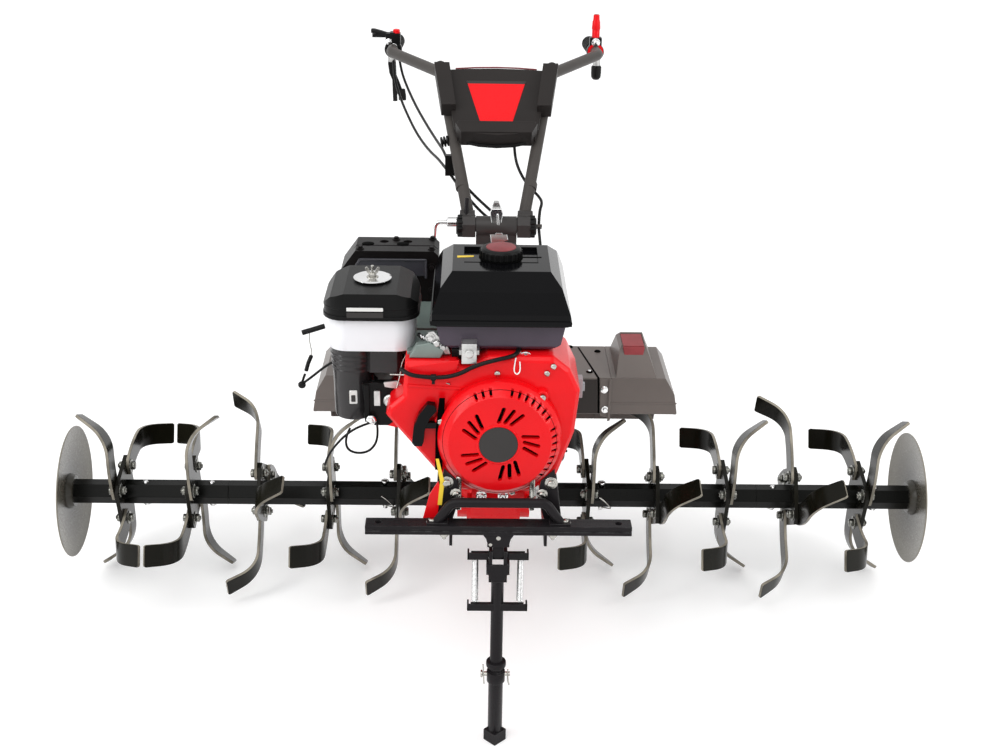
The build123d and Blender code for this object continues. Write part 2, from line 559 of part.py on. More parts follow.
# ---- handle ----
def make_handle():
    post = side_prism([(case_rear, 560), (case_rear, 620), (swivel_y - 34, swivel_z - 12), (swivel_y + 20, swivel_z - 12), (swivel_y + 20, swivel_z - 30)], -30, 30)
    base = post + rod_z(34, swivel_z - 12, swivel_z, 0, swivel_y)
    save("handle_base", base - rod_z(12 + pin_fit, 600, 700, 0, swivel_y))
    z = swivel_z + face_gap
    head = rod_z(34, z, z + 12, 0, swivel_y) + rod_z(12, z - 40, z, 0, swivel_y)
    head += block(-lug_half, lug_half, swivel_y - 14, swivel_y + 14, z + 10, tilt_z) + rod_x(lug_r, -lug_half, lug_half, swivel_y, tilt_z)
    save("swivel_head", head - rod_x(tilt_pin_r + pin_fit, -60, 60, swivel_y, tilt_z))
    stem = front_prism([(-9, tilt_z + lug_r - 1), (9, tilt_z + lug_r - 1), (8, tilt_z + 40), (4, tilt_z + 50), (-5, tilt_z + 50), (-8, tilt_z + 40)], swivel_y - 8, swivel_y + 8)
    save("lock_lever", stem - rod_x(lug_r + face_gap, -lug_half, lug_half, swivel_y, tilt_z))
    yoke = rod_x(tilt_pin_r, -bar_low_x - 12, bar_low_x + 12, swivel_y, tilt_z)
    for s in (1, -1):
        ends = sorted((s * (lug_half + 5), s * (bar_low_x + 13)))
        yoke += rod_x(yoke_r, *ends, swivel_y, tilt_z)
    guide_in, guide_out = bar_low_x + 12, swivel_route[0][0] + 6
    guide = Pos((guide_in + guide_out) / 2, swivel_y, tilt_z) * Rot(-guide_tilt, 0, 0) * Box(guide_out - guide_in, 12, 6)
    save("handle_yoke", yoke + guide)
    slope = hypot(bar_bend_y - swivel_y, bar_bend_z - tilt_z)
    splay = (bar_bend_x - bar_low_x) / slope
    tube_start = yoke_r + face_gap + bar_tube_r * splay
    y0 = swivel_y + tube_start * (bar_bend_y - swivel_y) / slope
    z0 = tilt_z + tube_start * (bar_bend_z - tilt_z) / slope
    for name, s in (("left", -1), ("right", 1)):
        points = [(s * bar_low_x, y0, z0), (s * bar_bend_x, bar_bend_y, bar_bend_z), (s * grip_x, grip_bend_y, grip_bend_z), (s * grip_x, grip_end_y - 2, grip_end_z)]
        tube = bent_rod(points, bar_tube_r, 60)
        save(f"handle_tube_{name}", tube)
        tubes[name] = tube
    grips = []
    for s in (1, -1):
        y_mid = grip_end_y - grip_len / 2
        z_mid = grip_bend_z - (y_mid - grip_bend_y) * tan(grip_drop)
        tube = Pos(s * grip_x, y_mid, z_mid) * Rot(-degrees(grip_drop), 0, 0) * Rot(90, 0, 0)
        grips.append(tube * Cylinder(grip_r, grip_len) - tube * Cylinder(bar_tube_r + fit, grip_len + 20))
    save("grips", *grips)
    rise = Plane(origin=(0, swivel_y, tilt_z), x_dir=(1, 0, 0), z_dir=(0, tilt_z - bar_bend_z, bar_bend_y - swivel_y))
    def spread(d):
        return bar_low_x + splay * d

    def slab(outline, h0, h1):
        return rise * Pos(0, 0, h0) * extrude(make_face(Polyline(*outline, close=True)), amount=h1 - h0)

    seat, a, b = bar_tube_r + face_gap, console_from, console_to
    panel = [(-spread(a) + 6, a), (spread(a) - 6, a), (spread(b), b), (-spread(b), b)]
    console = slab(panel, seat, seat + 12)
    for s in (-1, 1):
        mid = a + 70
        wing = [(s * (spread(mid) - 12), mid), (s * (spread(mid) + console_over), mid), (s * (spread(b) + console_over), b + 8), (s * (spread(b) - 14), b + 8)]
        console += slab(wing, seat, seat + console_t)
    shelf = [(-spread(a) + 14, a - 12), (spread(a) - 14, a - 12), (spread(a) - 2, a + 14), (-spread(a) + 2, a + 14)]
    save("console", console + slab(shelf, seat, seat + 40))
    make_controls()


def make_controls():
    """Perch clamps on the bar just ahead of the grips, each with its lever."""
    z = grip_bend_z - (perch_y - grip_bend_y) * tan(grip_drop)
    along = Rot(-degrees(grip_drop), 0, 0)

    def clamp(s, top):
        ring = Pos(s * grip_x, perch_y, z) * along * Rot(90, 0, 0) * (Cylinder(bar_tube_r + 6, 2 * perch_half) - Cylinder(bar_tube_r + fit, 40))
        return ring + block(s * grip_x - 7, s * grip_x + 7, perch_y - 11, perch_y + 11, z + bar_tube_r + 2, z + top)

    blade = side_prism([(perch_y - 6, z - 17), (perch_y + 8, z - 17), (perch_y + 40, z - 80), (perch_y + 62, z - lever_len), (perch_y + 50, z - lever_len), (perch_y + 22, z - 76)], -grip_x - 5, -grip_x + 5)
    thumb = block(-grip_x - 48, -grip_x - 5, perch_y - 7, perch_y + 7, z + 26, z + 34)
    save("lever_left", clamp(-1, 38) + blade + thumb)
    save("lever_right", clamp(1, 30) + rod_z(9, z + 29, z + 56, grip_x, perch_y) + rod_z(6, z + 56, z + 84, grip_x, perch_y))


def cable_path(points):
    """Straight runs joined by arcs, each arc as large as its two runs allow, with the arcs' radii."""
    p = [Vector(*q) for q in points]
    radii = []
    for i in range(1, len(p) - 1):
        before, after = p[i] - p[i - 1], p[i + 1] - p[i]
        half = radians(before.get_angle(after)) / 2
        radii.append(round(0.45 * min(before.length, after.length) / tan(half), 1))
    return FilletPolyline(*points, radius=radii), radii


def cable_space(points):
    """The room a cable takes, for cutting its seat."""
    path, _ = cable_path(points)
    return sweep(Plane(origin=path @ 0, z_dir=path % 0) * Circle(cable_r + fit), path=path)


def cable(points):
    """One cable, printing its radii and how its volume compares with its section times its length."""
    path, radii = cable_path(points)
    tube = sweep(Plane(origin=path @ 0, z_dir=path % 0) * Circle(cable_r), path=path)
    share = tube.volume / (pi * cable_r ** 2 * path.length)
    print("cable radii", radii, "length", round(path.length, 1), "volume over section times length", round(share, 5))
    return tube


def make_cables():
    save("clutch_cables", cable(clutch_route), cable(stop_route))
    save("throttle_cable_upper", cable(throttle_route))
    save("throttle_cable_lower", cable(swivel_route))
    clip_y = clutch_route[10][1]
    t = (clip_y - swivel_y) / (bar_bend_y - swivel_y)
    x, z = -bar_low_x - t * (bar_bend_x - bar_low_x), tilt_z + t * (bar_bend_z - tilt_z)
    clip = block(x - 22, x + 4, clip_y - 8, clip_y + 8, z - 46, z - 4)
    clip -= tubes["left"]
    for route in (clutch_route, stop_route):
        clip -= cable_space(route)
    save("cable_clip", *sorted(clip.solids(), key=lambda s: s.volume)[-1:])


os.makedirs("parts", exist_ok=True)
make_rotor()
make_frame()
make_stand()
make_gearbox()
make_engine()
make_tank()
make_side_parts()
make_fenders()
make_handle()
make_cables()
print("nodes", len(saved), "axle_z", round(axle_z, 3), "axle_y", axle_y)
whole = Compound(children=list(saved.values())).bounding_box()
print("box", whole.min, whole.max)
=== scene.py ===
"""Finishes and small pieces of a walk-behind rotavator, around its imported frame."""
import json
from math import cos, radians, sin, tau

import bmesh
import bpy
from mathutils import Matrix, Vector


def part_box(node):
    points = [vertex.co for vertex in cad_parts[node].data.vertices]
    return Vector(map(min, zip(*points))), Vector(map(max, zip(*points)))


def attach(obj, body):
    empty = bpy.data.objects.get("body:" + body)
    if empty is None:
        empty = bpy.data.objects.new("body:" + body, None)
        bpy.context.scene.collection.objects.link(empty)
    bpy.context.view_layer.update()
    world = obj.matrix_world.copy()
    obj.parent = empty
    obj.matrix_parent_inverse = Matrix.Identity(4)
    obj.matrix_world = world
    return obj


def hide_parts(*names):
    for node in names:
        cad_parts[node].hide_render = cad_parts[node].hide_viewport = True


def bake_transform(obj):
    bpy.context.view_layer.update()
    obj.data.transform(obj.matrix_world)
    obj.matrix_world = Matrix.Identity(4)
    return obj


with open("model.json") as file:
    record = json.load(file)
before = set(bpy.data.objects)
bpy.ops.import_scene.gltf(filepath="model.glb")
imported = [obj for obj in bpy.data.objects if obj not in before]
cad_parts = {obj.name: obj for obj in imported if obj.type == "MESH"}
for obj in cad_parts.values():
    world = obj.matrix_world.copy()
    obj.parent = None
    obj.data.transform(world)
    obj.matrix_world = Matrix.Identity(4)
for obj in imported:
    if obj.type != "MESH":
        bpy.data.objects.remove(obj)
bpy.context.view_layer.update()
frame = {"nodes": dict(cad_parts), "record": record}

MM = 0.001
scene = bpy.context.scene
joints = {j["name"]: j for j in frame["record"]["behaviour"]["joints"]}
axle = Vector(joints["rotor_spin"]["pos_m"])


# ---- places and outlines, in mm and degrees ----
UP, FRONT, REAR = (0, 0, 1), (0, -1, 0), (0, 1, 0)
RIGHT, DOWN = (1, 0, 0), (0, 0, -1)


def place(x, y, z):
    """A point in mm, with y measured from the rotor axle, as a place in metres."""
    return Vector((x * MM, y * MM + axle.y, z * MM))


def spot(node, fx, fy, fz):
    """The point in metres at these fractions of a node's box, from its lowest corner to its highest."""
    low, high = (Vector(corner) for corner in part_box(node))
    return Vector(low[i] + f * (high[i] - low[i]) for i, f in enumerate((fx, fy, fz)))


def along(at, axis, turn=0.0):
    """A frame at a point: Z runs along the axis, and Y points up, or to the rear if the axis is upright."""
    z = Vector(axis).normalized()
    x = (Vector(REAR) if abs(z.z) > 0.95 else Vector(UP)).cross(z).normalized()
    spin = Matrix((x, z.cross(x), z)).transposed().to_4x4()
    here = Matrix.Translation(place(*at)) @ spin
    return here @ Matrix.Rotation(radians(turn), 4, "Z") @ Matrix.Scale(MM, 4)


def rect(u0, u1, v0, v1):
    """A rectangle's corners."""
    return [(u0, v0), (u1, v0), (u1, v1), (u0, v1)]


def even(*half):
    """A symmetric outline, from the points of its right half."""
    return [*half, *((-u, v) for u, v in reversed(half) if u)]


def rounded(width, depth, radius, steps=6):
    """A rounded rectangle about its middle."""
    corners = ((1, 1, 0), (-1, 1, 90), (-1, -1, 180), (1, -1, 270))
    return [
        (sx * (width / 2 - radius) + radius * cos(radians(start + 90 * k / steps)),
         sy * (depth / 2 - radius) + radius * sin(radians(start + 90 * k / steps)))
        for sx, sy, start in corners for k in range(steps + 1)
    ]


# ---- finishes ----
VECTOR = "ShaderNodeVectorMath"


class Graph:
    """A material's or world's node tree, with short ways to add and link nodes."""

    def __init__(self, owner, shader="Principled BSDF"):
        owner.use_nodes = True
        self.tree = owner.node_tree
        self.shader = self.tree.nodes[shader]
        self.coords = self.add("ShaderNodeTexCoord").outputs

    def feed(self, node, inputs):
        """Sets or links a node's inputs, by their names or places."""
        for key, value in inputs.items():
            if isinstance(value, bpy.types.NodeSocket):
                self.tree.links.new(value, node.inputs[key])
            else:
                node.inputs[key].default_value = value
        return node

    def add(self, kind, **inputs):
        return self.feed(self.tree.nodes.new(kind), {name.replace("_", " "): inputs[name] for name in inputs})

    def math(self, operation, *values, kind="ShaderNodeMath", out=0):
        """What the operation makes of the values. A length or dot product is a vector node's output 1."""
        node = self.tree.nodes.new(kind)
        node.operation = operation
        return self.feed(node, dict(enumerate(values))).outputs[out]

    def noise(self, scale, detail=3.0):
        node = self.add("ShaderNodeTexNoise", Vector=self.coords["Object"], Scale=scale, Detail=detail)
        return node.outputs["Fac"]

    def remap(self, value, low, high, to_low, to_high):
        return self.add(
            "ShaderNodeMapRange", Value=value, From_Min=low, From_Max=high, To_Min=to_low, To_Max=to_high,
        ).outputs["Result"]

    def blend(self, factor, a, b):
        node = self.tree.nodes.new("ShaderNodeMix")
        node.data_type = "RGBA"
        return self.feed(node, {0: factor, 6: a, 7: b}).outputs[2]

    def edges(self, radius):
        """1 on convex and concave edges, 0 on flats."""
        soft = self.add("ShaderNodeBevel", Radius=radius).outputs[0]
        hard = self.add("ShaderNodeNewGeometry").outputs["Normal"]
        return self.remap(self.math("DOT_PRODUCT", soft, hard, kind=VECTOR, out=1), 0.86, 0.995, 1.0, 0.0)

    def mirrored(self):
        """1 for what the camera sees, straight or in a glossy or clear surface."""
        rays = self.add("ShaderNodeLightPath").outputs
        seen = self.math("MAXIMUM", rays["Is Camera Ray"], rays["Is Glossy Ray"])
        return self.math("MAXIMUM", seen, rays["Is Transmission Ray"])


def shade(color, factor=1.0):
    """The colour, brightened or darkened, with its alpha."""
    return tuple(min(1.0, c * factor) for c in color) + (1.0,)


finishes, slots = {}, {}
EDGE_REACH = 1.5 * MM  # how far the edge colour reaches from an edge: scuffed paint and a painted highlight
GRAIN_HEIGHT = 0.0006


def finish(
    name, color, rough, slot=None, metal=0.0, coat=0.0, shine=0.5, mottle=0.1, patch=14.0, grain=600.0,
    depth=0.1, edge_wear_and_highlight=None, through=0.0, rim=None, painted_dish_shade=None,
):
    """One surface: patchy colour, uneven roughness and a fine bump.

    worn is the colour on edges: partly paint scuffed through, partly a painted highlight
    for their bright reflections. rim is a painted highlight on faces marked rim, for their steel-like
    reflection, with some scuffed paint. fade is painted shade, the colour towards the axle, for the concave
    dish's darker reflection. slot is the record's slot, where the name isn't one.
    """
    material = bpy.data.materials.new(name)
    g = Graph(material)
    patches = g.remap(g.noise(patch), 0.3, 0.7, 0, 1)
    base = g.blend(patches, shade(color, 1 - mottle), shade(color, 1 + mottle))
    fine = g.noise(grain, 2.0)
    # Painted highlight and scuffed paint on edges: a lighter grey in a patchy band along edges, standing
    # partly for paint scuffed through and partly for the edges' bright reflections.
    if edge_wear_and_highlight:
        edge_wear_and_highlight_mask = g.math("MULTIPLY", g.edges(EDGE_REACH), g.remap(g.noise(60.0), 0.42, 0.62, 0.0, 0.85))
        base = g.blend(edge_wear_and_highlight_mask, base, shade(edge_wear_and_highlight))
    # Painted highlight on faces marked rim, the tines' narrow sides and ends: a lighter taupe, broken up by
    # noise, that stands for their steel-like reflection, with some scuffed paint.
    if rim:
        narrow_sides = g.add("ShaderNodeAttribute")
        narrow_sides.attribute_name = "rim"
        highlight_and_wear = g.math("MULTIPLY", narrow_sides.outputs["Fac"], g.remap(g.noise(22.0), 0.35, 0.6, 0.45, 1.0))
        base = g.blend(highlight_and_wear, base, shade(rim))
    # Painted shade: the colour darkens towards the axle, standing for the concave dish's darker reflection
    # near its hub.
    if painted_dish_shade:
        from_axle = g.math("SUBTRACT", g.coords["Object"], axle, kind=VECTOR)
        across = g.math("MULTIPLY", from_axle, (0, 1, 1), kind=VECTOR)
        reach = g.math("LENGTH", across, kind=VECTOR, out=1)
        base = g.blend(g.remap(reach, 0.035, 0.11, 1.0, 0.0), base, shade(painted_dish_shade))
    g.feed(g.shader, {
        "Base Color": base, "Roughness": g.remap(fine, 0.3, 0.7, rough * 0.88, rough * 1.12),
        "Metallic": metal, "Specular IOR Level": shine, "Transmission Weight": through,
        "Coat Weight": coat, "Coat Roughness": 0.06,
        "Normal": g.add("ShaderNodeBump", Strength=depth, Distance=GRAIN_HEIGHT, Height=fine).outputs[0],
    })
    finishes[name] = material
    slots[name] = slot or name


finish("red_paint", (0.78, 0.004, 0.008), 0.3, coat=0.12, shine=0.15, mottle=0.05, depth=0.03)
# The frame's lighter edges are partly painted highlight, partly scuffed paint.
finish("frame_black", (0.013, 0.0115, 0.0128), 0.3, shine=0.1, depth=0.12, edge_wear_and_highlight=(0.1, 0.1, 0.1))
finish("tank_black", (0.002, 0.002, 0.0025), 0.13, shine=0.12, mottle=0.03, depth=0.01)
finish("black_plastic", (0.006, 0.006, 0.006), 0.34, shine=0.1, grain=900, depth=0.15)
finish("white_plastic", (0.9, 0.9, 0.93), 0.35, mottle=0.03, depth=0.05, through=0.12)
finish("cast_metal", (0.3, 0.31, 0.3), 0.5, metal=0.55, mottle=0.2, grain=420, depth=0.5)
finish("exhaust_black", (0.006, 0.005, 0.005), 0.34, shine=0.08, mottle=0.2, depth=0.15)
finish("fender_grey", (0.125, 0.105, 0.095), 0.36, shine=0.3, mottle=0.05)
finish("handle_grey", (0.06, 0.054, 0.05), 0.4, shine=0.12, mottle=0.07)
finish("grip_rubber", (0.006, 0.006, 0.006), 0.6, shine=0.15, grain=350, depth=0.4)
finish("cable_black", (0.004, 0.004, 0.004), 0.32, shine=0.15, depth=0.05)
finish("bare_steel", (0.5, 0.5, 0.49), 0.3, metal=1.0, mottle=0.12, grain=700)
# The tines' narrow sides get a painted highlight, with some scuffed paint.
finish("tine_paint", (0.007, 0.0065, 0.004), 0.22,
       rim=(0.3, 0.275, 0.225), shine=0.12, mottle=0.3, depth=0.08)
# The discs darken towards the axle: painted shade for the dish's reflection.
finish("disc_paint", (0.2, 0.185, 0.15), 0.26, shine=0.3, mottle=0.12, patch=9, painted_dish_shade=(0.05, 0.046, 0.036))
finish("axle_black", (0.003, 0.0032, 0.0025), 0.3, "frame_black", shine=0.1)
finish("chrome", (0.78, 0.78, 0.78), 0.14, "bare_steel", metal=1.0, mottle=0.06, grain=700, depth=0.04)
finish("zinc", (0.42, 0.41, 0.38), 0.24, "bare_steel", metal=1.0, mottle=0.3, patch=80, grain=700)
finish("bolt_dark", (0.2, 0.2, 0.18), 0.26, "bare_steel", metal=0.9, mottle=0.5, patch=90, grain=700)
finish("alloy", (0.55, 0.55, 0.54), 0.38, "cast_metal", metal=0.9, mottle=0.2, patch=60, grain=300, depth=0.5)
finish("head_green", (0.2, 0.25, 0.23), 0.45, "cast_metal", metal=0.3, mottle=0.15, grain=400, depth=0.4)
# Near-black for dark seams and some black parts, and for painted shade in hollows, slots and holes.
finish("black_and_painted_shade", (0.001, 0.001, 0.001), 0.8, "black_plastic", shine=0.03, mottle=0.3)
finish("badge_grey", (0.04, 0.037, 0.036), 0.34, "black_plastic", shine=0.16, mottle=0.04, depth=0.04)
finish("console_grey", (0.024, 0.021, 0.02), 0.42, "handle_grey", shine=0.1, mottle=0.04, grain=800,
       depth=0.12)
finish("rubber_black", (0.005, 0.005, 0.005), 0.36, "grip_rubber", shine=0.16, grain=250, depth=0.2)
finish("canister_black", (0.02, 0.018, 0.019), 0.24, "black_plastic", shine=0.35, grain=500, depth=0.15)
finish("faded_red", (0.25, 0.04, 0.045), 0.5, "red_paint", shine=0.25, mottle=0.12, patch=40)
finish("cap_red", (0.2, 0.03, 0.035), 0.4, "red_paint", shine=0.25, mottle=0.15, patch=60)
finish("label_yellow", (0.85, 0.6, 0.05), 0.4, "white_plastic", shine=0.2, mottle=0.05, depth=0.05)
finish("label_pale", (0.72, 0.72, 0.7), 0.35, "white_plastic", shine=0.3, mottle=0.05, depth=0.05)
# Painted sheen: the tank's lower half is a lighter purple-grey than its black top, standing for its
# reflection.
finish("tank_painted_sheen", (0.06, 0.046, 0.066), 0.14, "tank_black", shine=0.3, mottle=0.25, patch=7, depth=0.01)
# Painted sheen: the muffler's panel and frame are a lighter blue-grey than its black, standing for their
# reflection.
finish("painted_panel_sheen", (0.03, 0.03, 0.037), 0.22, "exhaust_black", shine=0.6, mottle=0.2, depth=0.05)
# Painted shade: a dark grey for the fender's inner front face, where shade falls.
finish("fender_painted_shade", (0.035, 0.03, 0.028), 0.4, "fender_grey", shine=0.12, mottle=0.05)
finish("connector_grey", (0.35, 0.35, 0.37), 0.45, "white_plastic", shine=0.3, mottle=0.08)

# Nodes whose finish in view isn't their slot's own.
NODE_FINISHES = {
    "hex_tubes_inner": "axle_black", "hex_tubes_outer": "axle_black", "console": "console_grey",
    "air_cleaner_canister": "canister_black", "starter_handle": "tank_black", "tank_lower": "tank_painted_sheen",
    "lever_left": "rubber_black", "handle_base": "badge_grey", "swivel_head": "badge_grey",
    "cylinder_head": "head_green",
}
SOFT_EDGES = {
    "tank_upper": 5, "tank_lower": 5, "fender_outer_left": 4, "fender_outer_right": 4, "console": 3,
    "blower_shroud": 4, "recoil_cover": 0.8, "air_cleaner_cover": 4, "muffler": 3,
}


def soften(piece, width, segments):
    """Rounds a piece's sharp edges."""
    bevel = piece.modifiers.new("edges", "BEVEL")
    bevel.width, bevel.segments = width * MM, segments
    bevel.limit_method, bevel.angle_limit = "ANGLE", radians(24)
    bevel.use_clamp_overlap = bevel.harden_normals = True


def dress_nodes():
    """Gives every node its finish and softened edges."""
    for part in frame["record"]["subparts"]:
        node = part["node"]
        piece = frame["nodes"][node]
        piece.data.materials.clear()
        piece.data.materials.append(finishes[NODE_FINISHES.get(node, part["material_slot"])])
        piece.modifiers.new("weld", "WELD").merge_threshold = 0.00002
        soften(piece, SOFT_EDGES.get(node, 0.8), 3 if node in SOFT_EDGES else 2)


# ---- piece builders, in mm ----
def put(name, data):
    """An object of this data, in the scene."""
    made = bpy.data.objects.new(name, data)
    scene.collection.objects.link(made)
    return made


def settle(name, data, body, finish_name):
    """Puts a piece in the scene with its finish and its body."""
    piece = put(name, data)
    data.materials.append(finishes[finish_name])
    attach(piece, body)
    return piece


class Form:
    """A mesh piece made of solid forms that share a finish and ride on one body."""

    def __init__(self, name, finish_name, body="chassis", edge=0.4, segments=2):
        self.name, self.finish_name, self.body = name, finish_name, body
        self.edge, self.segments = edge, segments
        self.bm = bmesh.new()

    def __enter__(self):
        return self

    def __exit__(self, kind, error, trace):
        if kind is None:
            self.done()

    def skin(self, rings):
        """Joins rings of points, each full or a single point, and closes both ends."""
        made = [[self.bm.verts.new(point) for point in ring] for ring in rings]
        for low, high in zip(made, made[1:]):
            for k in range(max(len(low), len(high))):
                near, far = [[ring[(k + step) % len(ring)] for step in (0, 1)] for ring in (low, high)]
                self.bm.faces.new(dict.fromkeys((*near, *reversed(far))))
        for ring in (made[0], made[-1]):
            if len(ring) > 2:
                self.bm.faces.new(ring)
        return self

    def lathe(self, at, axis, profile, sides=24, turn=0.0):
        """A solid of revolution through (radius, height) pairs."""
        frame_at = along(at, axis, turn)
        around = [tau * k / sides for k in range(sides)]
        return self.skin([
            [frame_at @ Vector((r * cos(a), r * sin(a), h)) for a in (around if r else around[:1])]
            for r, h in profile
        ])

    def slab(self, at, axis, outline, thick, turn=0.0):
        """An outline of offsets from the point, extruded along the axis."""
        frame_at = along(at, axis, turn)
        return self.skin([[frame_at @ Vector((u, v, h)) for u, v in outline] for h in (0, thick)])

    def front(self, y, outline, thick):
        """A plate of (x, z) points at this y, extruded to the front."""
        return self.slab((0, y, 0), FRONT, outline, thick)

    def brick(self, x0, x1, y0, y1, z0, z1):
        """A box between these bounds."""
        return self.slab((x0, y0, z0), UP, rect(0, x1 - x0, 0, y1 - y0), z1 - z0)

    def bar(self, points, radius, sides=12):
        """A round bar through points, mitred where it turns."""
        path = [Vector(point) for point in points]
        runs = [(b - a).normalized() for a, b in zip(path, path[1:])]
        side = runs[0].orthogonal().normalized()
        rings = []
        for i, at in enumerate(path):
            before, after = runs[max(i - 1, 0)], runs[min(i, len(runs) - 1)]
            mitre, up = (before + after).normalized(), before.cross(side)
            ring = []
            for k in range(sides):
                offset = radius * (side * cos(tau * k / sides) + up * sin(tau * k / sides))
                offset -= before * (offset.dot(mitre) / before.dot(mitre))
                ring.append(place(*(at + offset)))
            rings.append(ring)
            side = (side - after * side.dot(after)).normalized()
        return self.skin(rings)

    def bolt(self, at, axis, across=13.0, head=6.0, washer=True, turn=0.0):
        """A chamfered hex head, with a washer under it."""
        corner, base = across / 3 ** 0.5, 0.0
        if washer:
            self.lathe(at, axis, [(across * 0.9, -0.6), (across * 0.9, 1.0), (across * 0.84, 1.5)], 20)
            base = 1.4
        top = base + head
        block = [(corner, base - 0.6), (corner, top - 1.2), (corner * 0.84, top)]
        return self.lathe(at, axis, block, 6, turn)

    def nut(self, at, axis, across=13.0, thick=7.0, stub=5.0, turn=0.0):
        """A hex nut with the bolt's end standing out of it."""
        self.bolt(at, axis, across, thick, True, turn)
        end = thick + stub
        return self.lathe(at, axis, [(across * 0.29, 0), (across * 0.29, end), (across * 0.22, end + 1)], 12)

    def dome(self, at, axis, radius, height):
        """A round button head."""
        arc = [(radius * cos(a), height * sin(a)) for a in (0.0, 0.4, 0.8, 1.2)]
        return self.lathe(at, axis, [(radius, -0.8), *arc, (0, height)], 20)

    def done(self):
        bmesh.ops.recalc_face_normals(self.bm, faces=self.bm.faces)
        mesh = bpy.data.meshes.new(self.name)
        self.bm.to_mesh(mesh)
        self.bm.free()
        mesh.polygons.foreach_set("use_smooth", [True] * len(mesh.polygons))
        self.piece = settle(self.name, mesh, self.body, self.finish_name)
        if self.edge:
            soften(self.piece, self.edge, self.segments)


def strand(points, radius):
    """A curve of one smooth spline with these control points."""
    data = bpy.data.curves.new("strand", "CURVE")
    data.dimensions, data.resolution_u = "3D", 8
    data.bevel_depth, data.bevel_resolution, data.use_fill_caps = radius * MM, 3, True
    spline = data.splines.new("NURBS")
    spline.points.add(len(points) - 1)
    for knot, point in zip(spline.points, points):
        knot.co = (*place(*point), 1)
    spline.order_u = 3
    spline.use_endpoint_u = True
    return data


def wire(name, finish_name, radius, *lines, body="chassis"):
    """Thin bent wires that share a finish, one curve a line. The first is returned."""
    return [
        settle(name if index == 0 else f"{name}_{index + 1}", strand(points, radius), body, finish_name)
        for index, points in enumerate(lines)
    ][0]


# ---- cables ----
CABLE_R = 3.0
CLUTCH_ROUTE = [
    (-235, 795.4, 924.6), (-234, 789, 893), (-226, 762, 862), (-212, 714, 838), (-195, 655, 818),
    (-176, 590, 800), (-156, 525, 789), (-137, 462, 785), (-121, 405, 787), (-107, 355, 784), (-94, 312, 780),
    (-78, 280, 766), (-57, 250, 749), (-36, 222, 733), (-16, 198, 722), (-3, 172.6, 719),
]
STOP_ROUTE = [
    (-222, 795.4, 928), (-216, 776, 898), (-204, 733, 877), (-188, 676, 858), (-171, 616, 842),
    (-153, 554, 829), (-136, 493, 819), (-121, 435, 813), (-109, 381, 811), (-99, 337, 799), (-84, 300, 787),
    (-66, 268, 772), (-44, 240, 756), (-22, 217, 742), (-4, 195, 732), (9, 172.6, 724),
]
THROTTLE_ROUTE = [
    (37, 327, 845.8), (38, 325, 822), (44, 311, 798), (57, 288, 777), (73, 259, 764), (87, 228, 758),
    (92, 197, 755), (85, 168.3, 746), (84, 152.2, 723.1),
]
SWIVEL_ROUTE = [
    (84, 148, 717.1), (86, 133, 696), (90, 115, 669), (93, 94, 636), (90, 78.5, 617), (83.5, 68, 606.5),
    (74.4, 60.5, 601),
]


def centre_line(route):
    """The points of the smooth line that the route's control points give."""
    highlight_and_wear = bpy.data.objects.new("centre_line", strand(route, 0))
    points = [vertex.co.copy() for vertex in bpy.data.meshes.new_from_object(highlight_and_wear).vertices]
    bpy.data.objects.remove(highlight_and_wear)
    return points


def declare_cord(piece, node, route, **more):
    """Hides the node that the cable stands in for."""
    line = centre_line(route)
    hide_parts(node)


def add_cables():
    held = {"with_pieces": [frame["nodes"]["cable_clip"]]}
    for name, node, route, more in (
        ("clutch_cable", "clutch_cables", CLUTCH_ROUTE, held),
        ("stop_cable", "clutch_cables", STOP_ROUTE, {}),
        ("throttle_cable", "throttle_cable_upper", THROTTLE_ROUTE, {}),
    ):
        declare_cord(wire(name, "cable_black", CABLE_R, route, body="handlebar"), node, route, **more)
    curve = bpy.data.objects.new("swivel_line", strand(SWIVEL_ROUTE, CABLE_R))
    tube = put("swivel_cable", bpy.data.meshes.new_from_object(curve))
    bpy.data.objects.remove(curve)
    tube.data.materials.clear()
    tube.data.materials.append(finishes["cable_black"])
    declare_cord(tube, "throttle_cable_lower", SWIVEL_ROUTE, path=centre_line(SWIVEL_ROUTE))
    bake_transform(tube)


# ---- rotor ----
AXLE_Z = axle.z / MM
DISC_R, DISC_DEEP, DISC_X, DISC_T, COLLAR_X = 131.0, 12.0, 850.4, 2.8, 838.0
WHEELS = (  # x, turn of the right wheel, turn of the left wheel
    (188.0, 0, 45), (326.0, 45, 0), (464.0, 0, 45), (602.0, 45, 0), (740.0, 0, 90),
)
BOLT_TURN, BOLT_R, TUBE_PIN_X = -30.0, 52.0, 218.0
PLATE_HALF, PLATE_CORNER, PLATE_CUT = 4.0, 81.3, 8.5
TINE_T, TINE_W, TINE_REACH = 6.0, 43.0, 165.0
SWEEP_R, SWEEP_START = 208.0, radians(39)  # the blade's curve in the wheel's plane
BEND_R, BEND, BEND_END = 70.0, radians(55), 34.0  # the blade's bend out of that plane


def tine_line():
    """Along a blade from its root: distance in the wheel's plane, offset from the plate, bend and width."""
    flat = TINE_REACH - BEND_R * sin(BEND) - BEND_END * cos(BEND)
    rows = [(-12.0, 0.0, 0.0, TINE_W - 14), (-4.0, 0.0, 0.0, TINE_W)]
    rows += [(flat * k / 7, 0.0, 0.0, TINE_W) for k in range(1, 8)]
    for k in range(1, 10):
        turn = BEND * k / 9
        rows.append((flat + BEND_R * sin(turn), BEND_R * (1 - cos(turn)), turn, TINE_W))
    for back, width in ((4.0, TINE_W), (0.0, TINE_W - 5)):
        out = BEND_R * (1 - cos(BEND)) + (BEND_END - back) * sin(BEND)
        rows.append((TINE_REACH - back * cos(BEND), out, BEND, width))
    return rows


